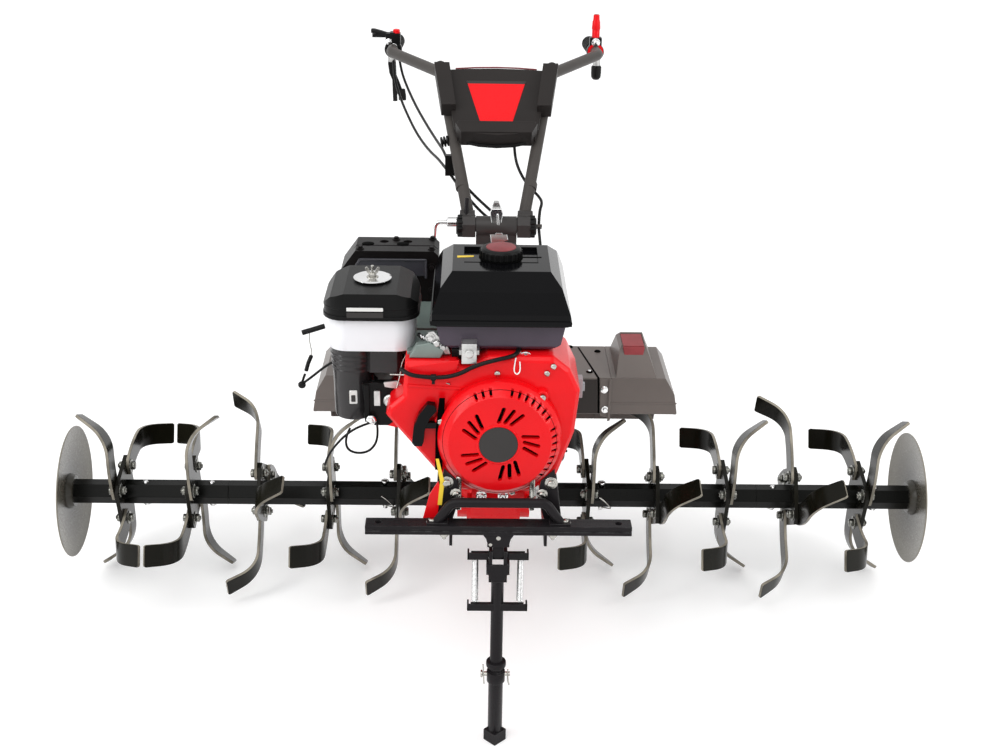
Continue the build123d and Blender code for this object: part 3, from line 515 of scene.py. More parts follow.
def add_tine(bm, rim, x, bend, a):
    """A swept blade on the plate's face; a is where its bolt stands, from the top towards the front."""
    rings = []
    for reach, out, turn, width in tine_line():
        way = SWEEP_START + reach / SWEEP_R
        u = BOLT_R + SWEEP_R * (sin(way) - sin(SWEEP_START))
        v = SWEEP_R * (cos(SWEEP_START) - cos(way))
        ring = []
        for face, edge in ((1, 1), (1, -1), (-1, -1), (-1, 1)):
            thick, across = face * TINE_T / 2, edge * width / 2
            pu = u - thick * sin(turn) * cos(way) - across * sin(way)
            pv = v - thick * sin(turn) * sin(way) + across * cos(way)
            px = x + bend * (PLATE_HALF + TINE_T / 2 + out + thick * cos(turn))
            py, pz = -pu * sin(a) + pv * cos(a), AXLE_Z + pu * cos(a) + pv * sin(a)
            ring.append(bm.verts.new(place(px, py, pz)))
        rings.append(ring)
    # The narrow sides and ends are marked rim, for a painted highlight.
    for low, high in zip(rings, rings[1:]):
        for k in range(4):
            side = bm.faces.new((low[k], low[(k + 1) % 4], high[(k + 1) % 4], high[k]))
            side[rim] = float(k in (1, 3))
    for ring in (rings[0], rings[-1]):
        bm.faces.new(ring)[rim] = 1.0


def dress_rotor():
    bolts = Form("tine_bolts", "bolt_dark", "rotor", edge=0)
    for name, side, column in (("left", -1, 2), ("right", 1, 1)):
        wheels = Form("tines_" + name, "tine_paint", "rotor", edge=0.9)
        rim = wheels.bm.faces.layers.float.new("rim")
        for row in WHEELS:
            x = side * row[0]
            diamond = []
            for quarter in range(4):
                bend = (-1, 1)[quarter % 2]
                a = radians(BOLT_TURN + row[column] + 90 * quarter)
                add_tine(wheels.bm, rim, x, bend, a)
                head = (-BOLT_R * sin(a), AXLE_Z + BOLT_R * cos(a))
                bolts.bolt((x + bend * (PLATE_HALF + TINE_T), *head), (bend, 0, 0), 15, 8, True, 17 * quarter)
                bolts.nut((x - bend * PLATE_HALF, *head), (-bend, 0, 0), 15, 8, 3, 11 * quarter)
                u = PLATE_CORNER - PLATE_CUT
                for shift in (PLATE_CUT, -PLATE_CUT):
                    diamond.append((-u * sin(a) + shift * cos(a), u * cos(a) + shift * sin(a)))
            faces = (x - PLATE_HALF, x + PLATE_HALF)
            wheels.skin([[place(px, y, AXLE_Z + z) for y, z in diamond] for px in faces])
        wheels.done()
        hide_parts("tine_wheels_" + name)
    bolts.done()
    with Form("discs", "disc_paint", "rotor", edge=0.8) as discs:
        dish = [(r, DISC_X - DISC_DEEP * (r / DISC_R) ** 2) for r in (22, 40, 60, 80, 100, 116, 127, DISC_R)]
        dish += [(r, x + DISC_T) for r, x in reversed(dish)]
        collar = [(22, 0), (30, 0), (32, 2), (36, 12), (22, 12)]
        for side in (1, -1):
            discs.lathe((0, 0, AXLE_Z), (side, 0, 0), dish, 96)
            discs.lathe((side * COLLAR_X, 0, AXLE_Z), (side, 0, 0), collar, 48)
    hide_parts("guard_discs")
    clips = []
    with Form("tube_pins", "chrome", "rotor", edge=0) as pins:
        for x in (-697, -565, 565, 772):
            pins.dome((x, 0, AXLE_Z + 21), UP, 6, 4)
            pins.bolt((x, 0, AXLE_Z - 21), DOWN, 13, 6)
        rod = [(3.9, 0), (4.7, 1), (4.7, 58), (8, 58), (8, 62), (7, 63)]
        for x in (-TUBE_PIN_X, TUBE_PIN_X):
            pins.lathe((x, 0, AXLE_Z - 33), UP, rod, 20)
            clips.append([(x + dx, y, AXLE_Z + dz) for dx, y, dz in (
                (-5, -3, -27), (6, -3, -27), (16, -9, -26), (20, -20, -20), (14, -28, -9), (4, -29, 2),
                (-6, -27, 8),
            )])
    wire("pin_clips", "zinc", 1.3, *clips, body="rotor")


# ---- stand and frame ----
STAND_Y, STAND_Z = -533.0, 377.0
SPRING_X, SPRING_R, SPRING_LOW_Z = 37.0, 5.5, 278.0
LEG_LEAN = 10.0 / 377.0
STAND_PIN_Z = 139


def leg_y(z):
    """The leg's middle at this height."""
    return STAND_Y + (STAND_Z - z) * LEG_LEAN


def dress_stand():
    coils, steps = 34, 8
    low, high = SPRING_LOW_Z + 6, STAND_Z - 6
    for name, x in (("spring_left", -SPRING_X), ("spring_right", SPRING_X)):
        line = [(x, leg_y(z), z) for z in (low - 6, low - 1)]
        for k in range(coils * steps + 1):
            z = low + 3 + (high - low - 6) * k / (coils * steps)
            a, r = tau * k / steps, SPRING_R - 1
            line.append((x + r * cos(a), leg_y(z) + r * sin(a), z))
        line += [(x, leg_y(z), z) for z in (high + 1, high + 6)]
        with Form(name, "chrome", "stand", edge=0) as spring:
            spring.bar(line, 1.1, 6)
        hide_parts("stand_springs")
    with Form("stand_plates", "frame_black", "stand", edge=0.8) as plates:
        for z, spans in ((STAND_Z, ((-50, -16.5), (16.5, 50))), (SPRING_LOW_Z, ((-50, 50),))):
            y = leg_y(z)
            for x0, x1 in spans:
                plates.brick(x0, x1, y - 9, y - 6, z - 6.5, z + 6.5)
            for x in (-50, 47):
                plates.brick(x, x + 3, y - 9, y + 7, z - 6.5, z + 6.5)
        y = leg_y(360)
        plates.front(y - 11, even((19, 364), (19, 352), (12, 338), (9, 331)), 4)
        for x in (-19, 15.2):
            plates.brick(x, x + 3.8, y - 14, y + 12, 345, 366)
        ferrule = [(13.5, -4), (16.4, -4), (17, -2), (17, 4), (16.4, 6), (13.5, 6)]
        plates.lathe((0, leg_y(165), 160), UP, ferrule, 32)
    y = leg_y(STAND_PIN_Z)
    with Form("stand_pin", "zinc", "stand", edge=0.2) as pin:
        pin.lathe((-23, y, STAND_PIN_Z), RIGHT, [(3.4, 0), (4, 0.6), (4, 46), (3.4, 47)], 16)
        pin.lathe((-26, y, STAND_PIN_Z), RIGHT, [(6, 0), (6.6, 0.6), (6.6, 3), (6, 3.4)], 16)
    wire("stand_clip", "zinc", 1.1, [
        (20, y - 4, 147), (20, y, 132), (21, y + 3, 122), (23, y - 6, 119), (22, y - 12, 128),
        (20, y - 8, 141), (20, y - 6, 152),
    ], [(-20, y - 2, 120), (-21, y - 7, 139), (-22, y - 3, 160)], body="stand")


BAR_Y, BAR_TOP = -534.0, 436.0


def dress_frame():
    with Form("stand_yoke", "frame_black", edge=1.0) as yoke:
        yoke.front(-543, even((26, 421), (20, 412), (18, 404), (18, 397)), 4)
        for x in (-18, 14):
            yoke.brick(x, x + 4, -546, -524, 397, 421)
    with Form("yoke_screw", "zinc", edge=0.3) as screw:
        screw.dome((0, -545, 414), FRONT, 7, 2.4)
        screw.dome((-13, -546.4, 402), FRONT, 3.4, 1.2)
    with Form("frame_bolts", "zinc", edge=0) as bolts:
        for side in (1, -1):
            bolts.bolt((side * 108, BAR_Y, BAR_TOP), UP, 10, 5)
            bolts.nut((side * 88, BAR_Y - 3, BAR_TOP - 16), DOWN, 12, 7, 5)
            bolts.bolt((side * 84, -514, 498), FRONT, 12, 6)
            bolts.bolt((side * 70, -514, 478), FRONT, 10, 5)
        thread = [(4.9 if k % 2 else 4.1, 2 + 2 * k) for k in range(28)]
        for x in (-65, 54):
            bolts.lathe((x, -500, 442), UP, [(4.5, 0), *thread, (4, 60)], 16)
            bolts.nut((x, -500, 456), UP, 15, 8, 0)
    with Form("bumper_feet", "frame_black", edge=0.8) as feet:
        for side in (1, -1):
            feet.slab((side * 99, BAR_Y, BAR_TOP - 1), UP, rect(-17, 17, -10, 10), 4)
    strip = [(-102, 541), (-97, 541), (-88, 500), (-92, 458), (-99, 458), (-95, 500)]
    Form("guard_strip", "label_yellow", edge=0.3).front(-515, strip, 2).done()
    flap = [(-98, 500), (-93, 486), (-99, 440), (-124, 412), (-123, 432), (-112, 476)]
    Form("guard_flap", "red_paint").front(-512, flap, 3).done()


# ---- engine ----
CRANK_Z = 563.0
RECOIL_FRONT, SHROUD_FRONT = -508.0, -470.0


def dress_engine_front():
    hub = (-2, RECOIL_FRONT, CRANK_Z)
    # Painted shadow: a black disc behind the recoil cover's slots, standing for the shade inside them.
    pit = [(20, 0), (92, 0), (92, 1), (20, 1)]
    Form("recoil_slot_shadow", "black_and_painted_shade", edge=0).lathe((0, -497, CRANK_Z), FRONT, pit, 64).done()
    badge = [(31, -2), (31, 1.2), (30, 2), (29, 1.4), (0, 1.4)]
    Form("recoil_badge", "badge_grey", edge=0.3).lathe(hub, FRONT, badge, 64).done()
    bezel = [(34.5, -1), (34, 1.2), (32.5, 1.8), (31.2, 0.8), (31.2, -1)]
    Form("badge_bezel", "red_paint", edge=0.3).lathe(hub, FRONT, bezel, 64).done()
    ears = [(99 * cos(a), CRANK_Z + 99 * sin(a)) for a in (radians(turn) for turn in (47, 163, 283))]
    with Form("recoil_ribs", "red_paint", edge=0.5) as ribs:
        for x, z in ears:
            ribs.lathe((x, SHROUD_FRONT - 1, z), FRONT, [(10, -3), (10, 9), (8.5, 11), (0, 11)], 24)
    with Form("shroud_bolts", "zinc", edge=0) as bolts:
        for x, z in ears:
            bolts.bolt((x, SHROUD_FRONT - 12, z), FRONT, 10, 6, False, 20)
        for x, z, turn in ((-82, 609, 12), (84, 684, 12), (74, 672, 12), (-5, 671, 0)):
            bolts.bolt((x, SHROUD_FRONT, z), FRONT, 9, 4, False, turn)
    with Form("shroud_rib", "red_paint", edge=1.0, segments=3) as rib:
        rib.front(SHROUD_FRONT + 1, [(-150, 651), (-62, 646), (-62, 642), (-150, 646)], 3)
        rib.front(SHROUD_FRONT + 1, [(-146, 668), (-72, 668), (-66, 690), (-66, 693), (-146, 681)], 2)
    wire("shroud_hose", "rubber_black", 3.6, [
        (-158, -468, 676), (-147, -480, 672), (-128, -479, 668), (-106, -478, 666), (-84, -478, 667),
        (-62, -478, 674), (-46, -478, 684), (-28, -480, 692), (-8, -478, 697), (14, -472, 700),
        (26, -462, 701), (30, -446, 703),
    ])
    with Form("hose_clip", "rubber_black") as clip:
        clip.lathe((-111, -478, 666.5), RIGHT, [(4.4, 0), (5.2, 0.6), (5.2, 8.4), (4.4, 9)], 20)
        clip.brick(-109, -104, -480, -474, 655, 664)
    strap = [(-97, 632), (-88, 632), (-90, 575), (-92, 506), (-104, 506), (-103, 575)]
    Form("shroud_strap", "black_and_painted_shade", edge=0.6).front(-480, strap, 6).done()
    with Form("intake_block", "alloy", edge=0.8) as block:
        block.brick(-62, -38, -474, -440, 688, 722)
        block.brick(-66, -34, -466, -446, 700, 708)
        block.lathe((-50, -474, 706), FRONT, [(7, -1), (7, 4), (5, 5), (0, 5)], 20)
    with Form("tank_feet", "chrome", edge=0.5) as feet:
        feet.front(-452, [(24, 703), (92, 690), (92, 684), (72, 682), (52, 690), (30, 692)], 3)
        for x, z in ((40, 694), (80, 687)):
            feet.bolt((x, -455, z), FRONT, 10, 5)
    wire("clip_wire", "chrome", 1.3, [
        (24, -474, 700), (22, -476, 690), (21, -477, 676), (27, -477, 671), (32, -476, 680), (30, -475, 694),
    ])
    with Form("plug_connector", "connector_grey", edge=0.8) as plug:
        plug.brick(126, 142, -352, -330, 576, 610)
        plug.brick(122, 146, -346, -336, 586, 600)
    with Form("engine_foot", "red_paint", edge=1.0) as foot:
        foot.brick(-44, 44, -462, -440, 436, 470)
        foot.brick(-52, 52, -458, -440, 430, 440)
    with Form("foot_bolts", "chrome", edge=0) as bolts:
        for x in (-28, 8):
            bolts.bolt((x, -462, 447), FRONT, 10, 5)
        for x in (-82, 78):
            bolts.lathe((x, -470, 438), UP, [(5, 0), (5, 30), (4, 31)], 14)
            bolts.nut((x, -470, 452), UP, 16, 9, 0)


def dress_engine_sides():
    with Form("block_cover", "cast_metal", edge=1.5, segments=3) as cover:
        cover.slab((104, -220, 527), RIGHT, rounded(186, 158, 24), 6)
        cover.lathe((108, -220, 563), RIGHT, [(46, 0), (46, 3), (40, 5), (0, 5)], 48)
        for k in range(7):
            cover.brick(-110, -104, -316, -124, 446 + 16 * k, 450 + 16 * k)
    with Form("block_bolts", "zinc", edge=0) as bolts:
        for y, z in (
            (-302, 594), (-220, 599), (-138, 594), (-134, 527), (-138, 460), (-220, 455), (-302, 460),
            (-306, 527),
        ):
            bolts.bolt((110, y, z), RIGHT, 10, 6)
        for x, y in rect(-95, 95, -318, -122):
            bolts.bolt((x, y, 442), UP, 13, 7)
    with Form("oil_plugs", "rubber_black", edge=0.8) as plugs:
        plug = [(9, -6), (9, 6), (14, 7), (14, 15), (12, 17), (0, 17)]
        plugs.lathe((98, -316, 452), (1, -0.5, 0.35), plug, 24)
        plugs.brick(110, 122, -330, -327, 462, 466)


# ---- air cleaner, muffler and tank ----
AIR_X, AIR_Y = -208.0, -365.0
COVER_TOP, COVER_FOOT = 790.0, 745.0
CANISTER_X, CANISTER_TOP = AIR_X - 35, 686.0


def dress_air_cleaner():
    crown = [(30, -1), (31, 0), (31, 1), (28, 2.2), (9, 1.2), (0, 1.2)]
    Form("cover_washer", "chrome", edge=0.2).lathe((AIR_X, AIR_Y, COVER_TOP + 3), UP, crown, 48).done()
    with Form("cover_nut", "zinc", edge=0.3) as nut:
        at = COVER_TOP + 4
        nut.bolt((AIR_X, AIR_Y, at), UP, 11, 6)
        nut.lathe((AIR_X, AIR_Y, at), UP, [(2.6, 4), (2.6, 19), (2, 20)], 12)
        for side in (1, -1):
            wing = [(side * u, v) for u, v in ((0, 0), (-5, 5), (-8, 12), (-5, 15), (-1, 9), (1, 4))]
            nut.slab((AIR_X + side * 4, AIR_Y - 1.2, at + 3), REAR, wing, 2.4)
    with Form("cover_brim", "black_plastic", edge=1.2, segments=3) as brim:
        brim.slab((AIR_X, AIR_Y - 2, COVER_FOOT), UP, rounded(155.6, 143.6, 36), 7)
        brim.slab((AIR_X, AIR_Y - 2, COVER_FOOT + 18), UP, rounded(153.6, 141.6, 35), 3)
    for name, finish_name, up, height, thick in (
        ("cover_plate", "label_pale", 20, 6, 1.2), ("cover_label", "badge_grey", 10.5, 9, 1.0),
    ):
        at = (AIR_X - 8, AIR_Y - 73.4, COVER_FOOT + up)
        Form(name, finish_name, edge=0.3).slab(at, FRONT, rounded(58, height, 1, 3), thick).done()
    skirt = [(r, CANISTER_TOP - down) for r, down in (
        (38, 0), (37, 16), (38.3, 19), (36.3, 24), (37.6, 27), (35.5, 33), (36.8, 36), (34.8, 43), (36, 46),
        (34, 54), (33.4, 80), (32.8, 126), (31, 133), (0, 133),
    )]
    at = (CANISTER_X + 1, AIR_Y - 2, 0)
    Form("canister_skirt", "canister_black", edge=1.0).lathe(at, UP, skirt, 40).done()
    lean = (0.05, -1, -0.05)
    at = (CANISTER_X + 2, AIR_Y - 33.5, 596)
    Form("canister_plate", "label_pale", edge=0.3).slab(at, lean, rounded(13, 24, 1.5, 3), 3.5).done()
    at = (CANISTER_X + 2, AIR_Y - 36.5, 594)
    Form("plate_window", "badge_grey", edge=0.2).slab(at, lean, rounded(7, 12, 1, 3), 1.2).done()
    guard = [
        (-205, 670), (-236, 662), (-262, 626), (-268, 588), (-258, 566), (-226, 550), (-190, 548),
        (-176, 560),
    ]
    Form("side_guard", "exhaust_black", edge=6, segments=5).front(-290, guard, 34).done()
    with Form("side_bolts", "chrome", edge=0) as bolts:
        for x, y, z, r in ((-250, -324, 604, 9), (-211, -418, 562, 8.5)):
            bolts.dome((x, y, z), FRONT, r, 3)
            bolts.bolt((x, y - 2, z), FRONT, 8, 3, False)
    with Form("choke_plate", "black_plastic", edge=0.8) as plate:
        plate.front(-398, [
            (-226, 622), (-206, 626), (-168, 620), (-152, 596), (-160, 566), (-184, 548), (-206, 548),
            (-218, 560),
        ], 10)
        plate.brick(-204, -166, -402, -372, 566, 616)
        plate.brick(-222, -214, -412, -398, 556, 622)
    with Form("choke_parts", "alloy", edge=0.5) as parts:
        parts.front(-409, [(-190, 628), (-166, 631), (-160, 624), (-164, 616), (-188, 620)], 4)
        parts.lathe((-180, -408, 594), FRONT, [(11, -2), (11, 3), (8, 6), (8, 9), (0, 9)], 24)
        parts.bolt((-180, -416, 594), FRONT, 8, 4, False)
        parts.bolt((-158, -404, 588), FRONT, 10, 5)
        parts.front(-408, rect(-206, -196, 586, 612), 5)
        parts.bolt((-146, -400, 664), FRONT, 9, 5)
    tag = [(-192, 561), (-168, 558), (-156, 548), (-170, 544), (-190, 549)]
    Form("choke_red", "red_paint").front(-404, tag, 3).done()
    wire(
        "governor_rods", "zinc", 1.3,
        [(-178, -430, 650), (-150, -434, 651), (-118, -440, 652), (-80, -474, 653)],
        [(-168, -420, 622), (-162, -412, 640), (-160, -408, 664), (-152, -402, 674)],
        [(-186, -416, 602), (-170, -418, 606), (-160, -414, 616), (-152, -410, 632)],
    )
    wire(
        "choke_cable", "cable_black", 2.0,
        [(-202, -416, 560), (-226, -424, 556), (-250, -424, 541), (-270, -420, 518), (-286, -414, 492),
         (-291, -408, 474)],
        [(-202, -414, 556), (-199, -416, 530), (-212, -418, 506), (-234, -418, 500), (-253, -418, 508),
         (-254, -418, 532), (-246, -420, 548)],
    )
    with Form("plug_lead_end", "rubber_black", edge=0.8) as boot:
        boot.bar([(-330, -332, 682), (-312, -330, 687), (-292, -328, 693)], 4.6)
        boot.bar([(-316, -330, 640), (-322, -330, 626), (-326, -330, 612)], 3.6)
        boot.lathe((-334, -330, 586), FRONT, [(0, -5), (5, -4), (7, 0), (5, 4), (0, 5)], 16)
    wire(
        "plug_lead", "cable_black", 2.2,
        [(-333, -330, 588), (-316, -332, 602), (-296, -334, 620), (-276, -336, 634), (-252, -338, 646)],
        [(-328, -330, 606), (-332, -330, 596), (-334, -330, 588)],
    )
    wire("lead_wire", "zinc", 0.9, [
        (-317, -331, 684), (-319, -331, 672), (-317, -331, 658), (-315, -331, 648), (-316, -330, 640),
    ])


MUFFLER_FRONT, MUFFLER_X0, MUFFLER_X1 = -170.6, -278.0, -106.0


def dress_muffler():
    x0, x1 = MUFFLER_X0, MUFFLER_X1
    panel = [(x0 + 14, 728), (x1 - 24, 728), (x1 - 24, 757), (x0 + 34, 757)]
    # The panel and its frame carry a painted sheen.
    Form("muffler_panel", "painted_panel_sheen", edge=1.5, segments=3).front(MUFFLER_FRONT, panel, 2.4).done()
    with Form("muffler_frame", "painted_panel_sheen", edge=1.2, segments=3) as rim:
        for outline in (
            [(x0 + 10, 724), (x0 + 15, 724), (x0 + 37, 756), (x0 + 33, 760)],
            rect(x0 + 33, x1 - 20, 756, 760), rect(x1 - 24, x1 - 20, 724, 760),
        ):
            rim.front(MUFFLER_FRONT + 0.5, outline, 5)
    # Painted shadow: black discs standing for the shade in two holes on the muffler's top.
    with Form("muffler_hole_shadows", "black_and_painted_shade", edge=0) as hole_shadows:
        for x in (x0 + 46, x0 + 108):
            hole_shadows.lathe((x, -130, 772.4), UP, [(11, 0), (11, 1), (0, 1)], 24)
    with Form("muffler_screws", "exhaust_black", edge=0.2) as screws:
        for x, y in ((x0 + 34, -158), (x1 - 12, -158), (x0 + 95, -104), (x1 - 12, -100)):
            screws.bolt((x, y, 773), UP, 8, 4)
        for z in (744, 700):
            screws.bolt((x1 - 12, MUFFLER_FRONT, z), FRONT, 8, 4)


TANK_X, TANK_RIM, TANK_FRONT, TANK_REAR, TANK_TOP = 109.5, 757.0, -463.0, -218.0, 826.0
CAP_Y, CAP_RIM = -352.0, 33.0


def dress_tank():
    at = (0, (TANK_FRONT + TANK_REAR) / 2, TANK_RIM - 9.5)
    seam = rounded(2 * TANK_X + 7, TANK_REAR - TANK_FRONT + 5, 14)
    Form("tank_seam", "tank_black", edge=1.0).slab(at, UP, seam, 3).done()
    # Painted shade: black fills in the recess in front of the cap and around it.
    with Form("tank_recess", "black_and_painted_shade") as recess:
        recess.brick(-59.5, 59.5, CAP_Y - 29.5, CAP_Y - 22, TANK_TOP - 6.6, TANK_TOP - 1)
        recess.lathe((0, CAP_Y, TANK_TOP - 1), UP, [(36, 0), (36, 1.8), (34, 2.6), (26, 2.6)], 40)
    with Form("filler_cap", "black_plastic", edge=0.6) as cap:
        crown = [(31, 0), (CAP_RIM, 2), (CAP_RIM, 13), (31, 16), (26, 17.5), (25, 17), (0, 17)]
        cap.lathe((0, CAP_Y, TANK_TOP), UP, crown, 48)
        for a in (tau * k / 24 for k in range(24)):
            at = (CAP_RIM * cos(a), CAP_Y + CAP_RIM * sin(a), TANK_TOP + 2)
            cap.slab(at, UP, rounded(4, 4, 1.6, 2), 11)
    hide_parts("fuel_cap")
    dome = [(24.6, 0), (24, 1.4), (16, 3), (8, 3.8), (0, 4)]
    Form("cap_dome", "cap_red").lathe((0, CAP_Y, TANK_TOP + 16.5), UP, dome, 40).done()
    label = [(-13, -4), (14, 1), (14, 7), (-13, 5)]
    Form("tank_label", "label_yellow", edge=0.2).slab((-58, CAP_Y - 2, TANK_TOP - 0.4), UP, label, 0.9).done()
    # Painted shade: a black strip standing for the dark of slots in the tank's top.
    Form("tank_slots", "black_and_painted_shade", edge=0.3).brick(
        34, 66, CAP_Y - 3, CAP_Y + 2, TANK_TOP - 0.6, TANK_TOP + 0.4,
    ).done()
    with Form("tank_studs", "zinc", edge=0) as studs:
        for x in (-70, 70):
            studs.bolt((x, -250, TANK_TOP - 36), UP, 10, 5)
    with Form("tank_tap", "rubber_black", edge=0.8) as tap:
        tap.brick(-78, -46, -449, -418, 690, 703)
        tap.lathe((-62, -434, 676), UP, [(6, 0), (8, 2), (8, 15)], 20)
    with Form("carb_castings", "head_green", edge=1.5, segments=3) as casting:
        casting.front(-440, [(-146, 690), (-96, 690), (-90, 702), (-112, 716), (-134, 712)], 16)
        casting.brick(-150, -84, -438, -344, 682, 694)
    with Form("governor_arm", "alloy", edge=0.5) as arm:
        arm.front(-444, [(-116, 730), (-106, 732), (-84, 706), (-80, 694), (-88, 694), (-98, 710)], 4)
        for x, z in ((-112, 722), (-92, 706)):
            arm.bolt((x, -448, z), FRONT, 9, 5)
        arm.lathe((-102, -449, 714), FRONT, [(5, 0), (5, 6), (4, 7), (0, 7)], 16)
    wire("governor_spring", "chrome", 0.9, [
        (-128 + 0.9 * k, -450 + 3.4 * cos(1.5 * k), 726 - 0.5 * k + 3.4 * sin(1.5 * k)) for k in range(40)
    ])
    wire("fuel_hose", "rubber_black", 3.4, [
        (-64, -436, 680), (-70, -444, 670), (-88, -446, 676), (-104, -440, 696), (-122, -430, 712),
        (-132, -418, 716),
    ])


# ---- fenders ----
FENDER_TOP, FENDER_FRONT, FENDER_LOW = 500.0, -91.0, 426.0


def dress_fender(name, s):
    """One side's fender: s is 1 on the right and -1 on the left."""
    top, low = FENDER_TOP, FENDER_LOW

    def sided(*points):
        return [(s * x, v) for x, v in points]

    with Form(f"fender_seam_{name}", "black_and_painted_shade", edge=0) as seam:
        along_top = sided((163, 60), (166, 60), (195, FENDER_FRONT - 0.3), (191, FENDER_FRONT - 0.3))
        seam.slab((0, 0, top - 0.6), UP, along_top, 1.2)
        seam.front(FENDER_FRONT + 0.6, sided((191, top), (195, top), (198, low + 1), (194, low + 1)), 1.2)
    with Form(f"fender_flange_{name}", "fender_grey", edge=0.6) as flange:
        edge = sided((196, top - 1), (216, top - 1), (216, low - 8), (199, low - 4))
        flange.front(FENDER_FRONT + 0.4, edge, 2.6)
        flange.front(FENDER_FRONT, sided((213, top - 2), (218, top - 2), (218, low - 12), (213, low - 14)), 5)
    with Form(f"fender_screws_{name}", "black_and_painted_shade", edge=0.3) as screws:
        for x, y in sided((201, 40), (148, 62), (178, -62)):
            screws.dome((x, y, top), UP, 6.5, 3)
    with Form(f"fender_bolt_{name}", "chrome", edge=0.2) as bolt:
        bolt.dome((s * 205, FENDER_FRONT - 2.2, 477), FRONT, 8, 3.5)
        bolt.dome((s * 178, -62, top + 2.6), UP, 3.5, 1.5)
        bolt.bolt((s * 208, FENDER_FRONT - 2.2, 436), FRONT, 8, 4)
    with Form(f"fender_insert_{name}", "faded_red", edge=1.0, segments=3) as insert:
        insert.slab((0, -15, 546.4), UP, sided(*rect(241, 281, -36, 26)), 3.4)
        insert.slab((0, -51, 547), (0, -0.96, 0.26), sided((240, 1), (282, 1), (273, -44), (249, -44)), 4)
    # Painted shade: a thin dark sheet over the fender's inner front face.
    inside = sided((146, top - 3), (190.5, top - 3), (193.5, low + 1), (146, low + 1))
    Form(f"fender_inside_{name}", "fender_painted_shade", edge=0.5).front(FENDER_FRONT + 0.5, inside, 1.0).done()
    rim = sided(*rect(218, 344, low + 21, low + 24))
    Form(f"fender_rim_{name}", "fender_grey", edge=0.8).front(FENDER_FRONT + 1, rim, 2).done()


# ---- handle ----
PIVOT_Y, PIVOT_Z = 150.0, 720.0
BAR_RUN, BAR_CLIMB = 355.0 / 421.91, 228.0 / 421.91
BAR_NORMAL = (0, -BAR_CLIMB, BAR_RUN)
BAR_LOW_X, BAR_SPLAY = 54.0, 62.0 / 421.91
GRIP_X, GRIP_Y, GRIP_Z, GRIP_END_Y, GRIP_SLOPE = 235.0, 720.0, 950.0, 1000.0, -25.0 / 280.0
CONSOLE_SEAT = 12.4


def on_bar(x, d, h):
    """A point d along the handle from its pivot and h above its tubes' line."""
    return x, PIVOT_Y + d * BAR_RUN - h * BAR_CLIMB, PIVOT_Z + d * BAR_CLIMB + h * BAR_RUN


def spread(d):
    """How far the tubes' lines stand from the middle, d along the handle."""
    return BAR_LOW_X + BAR_SPLAY * d


def ring_of(count, radius, y, z):
    """Evenly spaced points (u, v) around the middle (y, z)."""
    return [(y + radius * cos(tau * k / count), z + radius * sin(tau * k / count)) for k in range(count)]


def dress_handle():
    with Form("pivot_ears", "badge_grey", "handlebar", edge=1.0) as ears:
        for side in (1, -1):
            ears.slab(on_bar(side * 54 - 13, 0, 0), RIGHT, [
                (-18, -18), (18, -18), (22, 0), (14, 19), (-8, 22), (-20, 8),
            ], 26)
            for d in (4, 22):
                at = on_bar(side * spread(d) - 15, d, 0)
                ears.lathe(at, RIGHT, [(13.6, 0), (14.6, 1), (14.6, 29), (13.6, 30)], 28)
    with Form("pivot_knobs", "rubber_black", "handlebar", edge=0.6) as knobs:
        for side in (1, -1):
            out, x = (side, 0, 0), side * 68
            knobs.lathe((x, PIVOT_Y, PIVOT_Z), out, [(19, -2), (19, 7), (16, 11), (0, 11)], 28)
            for y, z in ring_of(10, 19, PIVOT_Y, PIVOT_Z):
                knobs.lathe((x, y, z), out, [(3.2, -2), (3.2, 7), (2.4, 8.6)], 10)
    with Form("tube_collars", "handle_grey", "handlebar", edge=1.0, segments=3) as collars:
        for side in (1, -1):
            collars.bar([on_bar(side * spread(d), d, 0) for d in (96, 104, 112)], 13.0, 24)
    with Form("lock_grip", "chrome", "handle_head", edge=1.6, segments=3) as grip:
        grip.front(141, [
            (-12, 706), (-10, 730), (-13, 752), (-10, 760), (10, 760), (13, 750), (10, 732), (22, 706),
            (24, 696), (11, 691), (-10, 689),
        ], 7)
        grip.front(134.6, [(-2, 708), (1, 727), (0, 750), (4, 750), (6, 729), (13, 708)], 3)
    with Form("swivel_plates", "frame_black", "handle_head", edge=1.0) as plates:
        plates.lathe((0, PIVOT_Y, 674), UP, [(39, 0), (40, 1), (40, 6), (39, 7)], 40)
        for x, y in ring_of(18, 39, 0, PIVOT_Y):
            plates.brick(x - 3, x + 3, y - 3, y + 3, 674.5, 680)
    stub = [(9, 0), (10, 1), (10, 36), (9, 37)]
    Form("lock_stub", "chrome", "handlebar", edge=0.6).lathe((-97, PIVOT_Y, 727), RIGHT, stub, 28).done()
    # Painted shade: a black disc standing for the dark inside the stub's hollow end.
    end_shadow = [(7, -0.2), (7, 0.8), (0, 0.8)]
    Form("stub_end_shadow", "black_and_painted_shade", "handlebar", edge=0).lathe((-97.4, PIVOT_Y, 727), RIGHT, end_shadow, 24).done()
    bends = ((-90, 727), (-104, 727), (-116, 727), (-121, 718), (-122, 704), (-123, 692))
    wire("lock_rod", "chrome", 4.6, [(x, PIVOT_Y, z) for x, z in bends], body="handlebar")
    stay = [(-58, 168, 772), (-60, 160, 735), (-58, 152, 700)]
    Form("stay_rod", "frame_black", "handlebar").bar(stay, 4.5).done()


def console_plate(name, finish_name, above, outline, thick, **edges):
    """One plate that lies along the handle, this far above the console's seat."""
    plate = Form(name, finish_name, "handlebar", **edges)
    plate.slab(on_bar(0, 0, CONSOLE_SEAT + above), BAR_NORMAL, outline, thick).done()


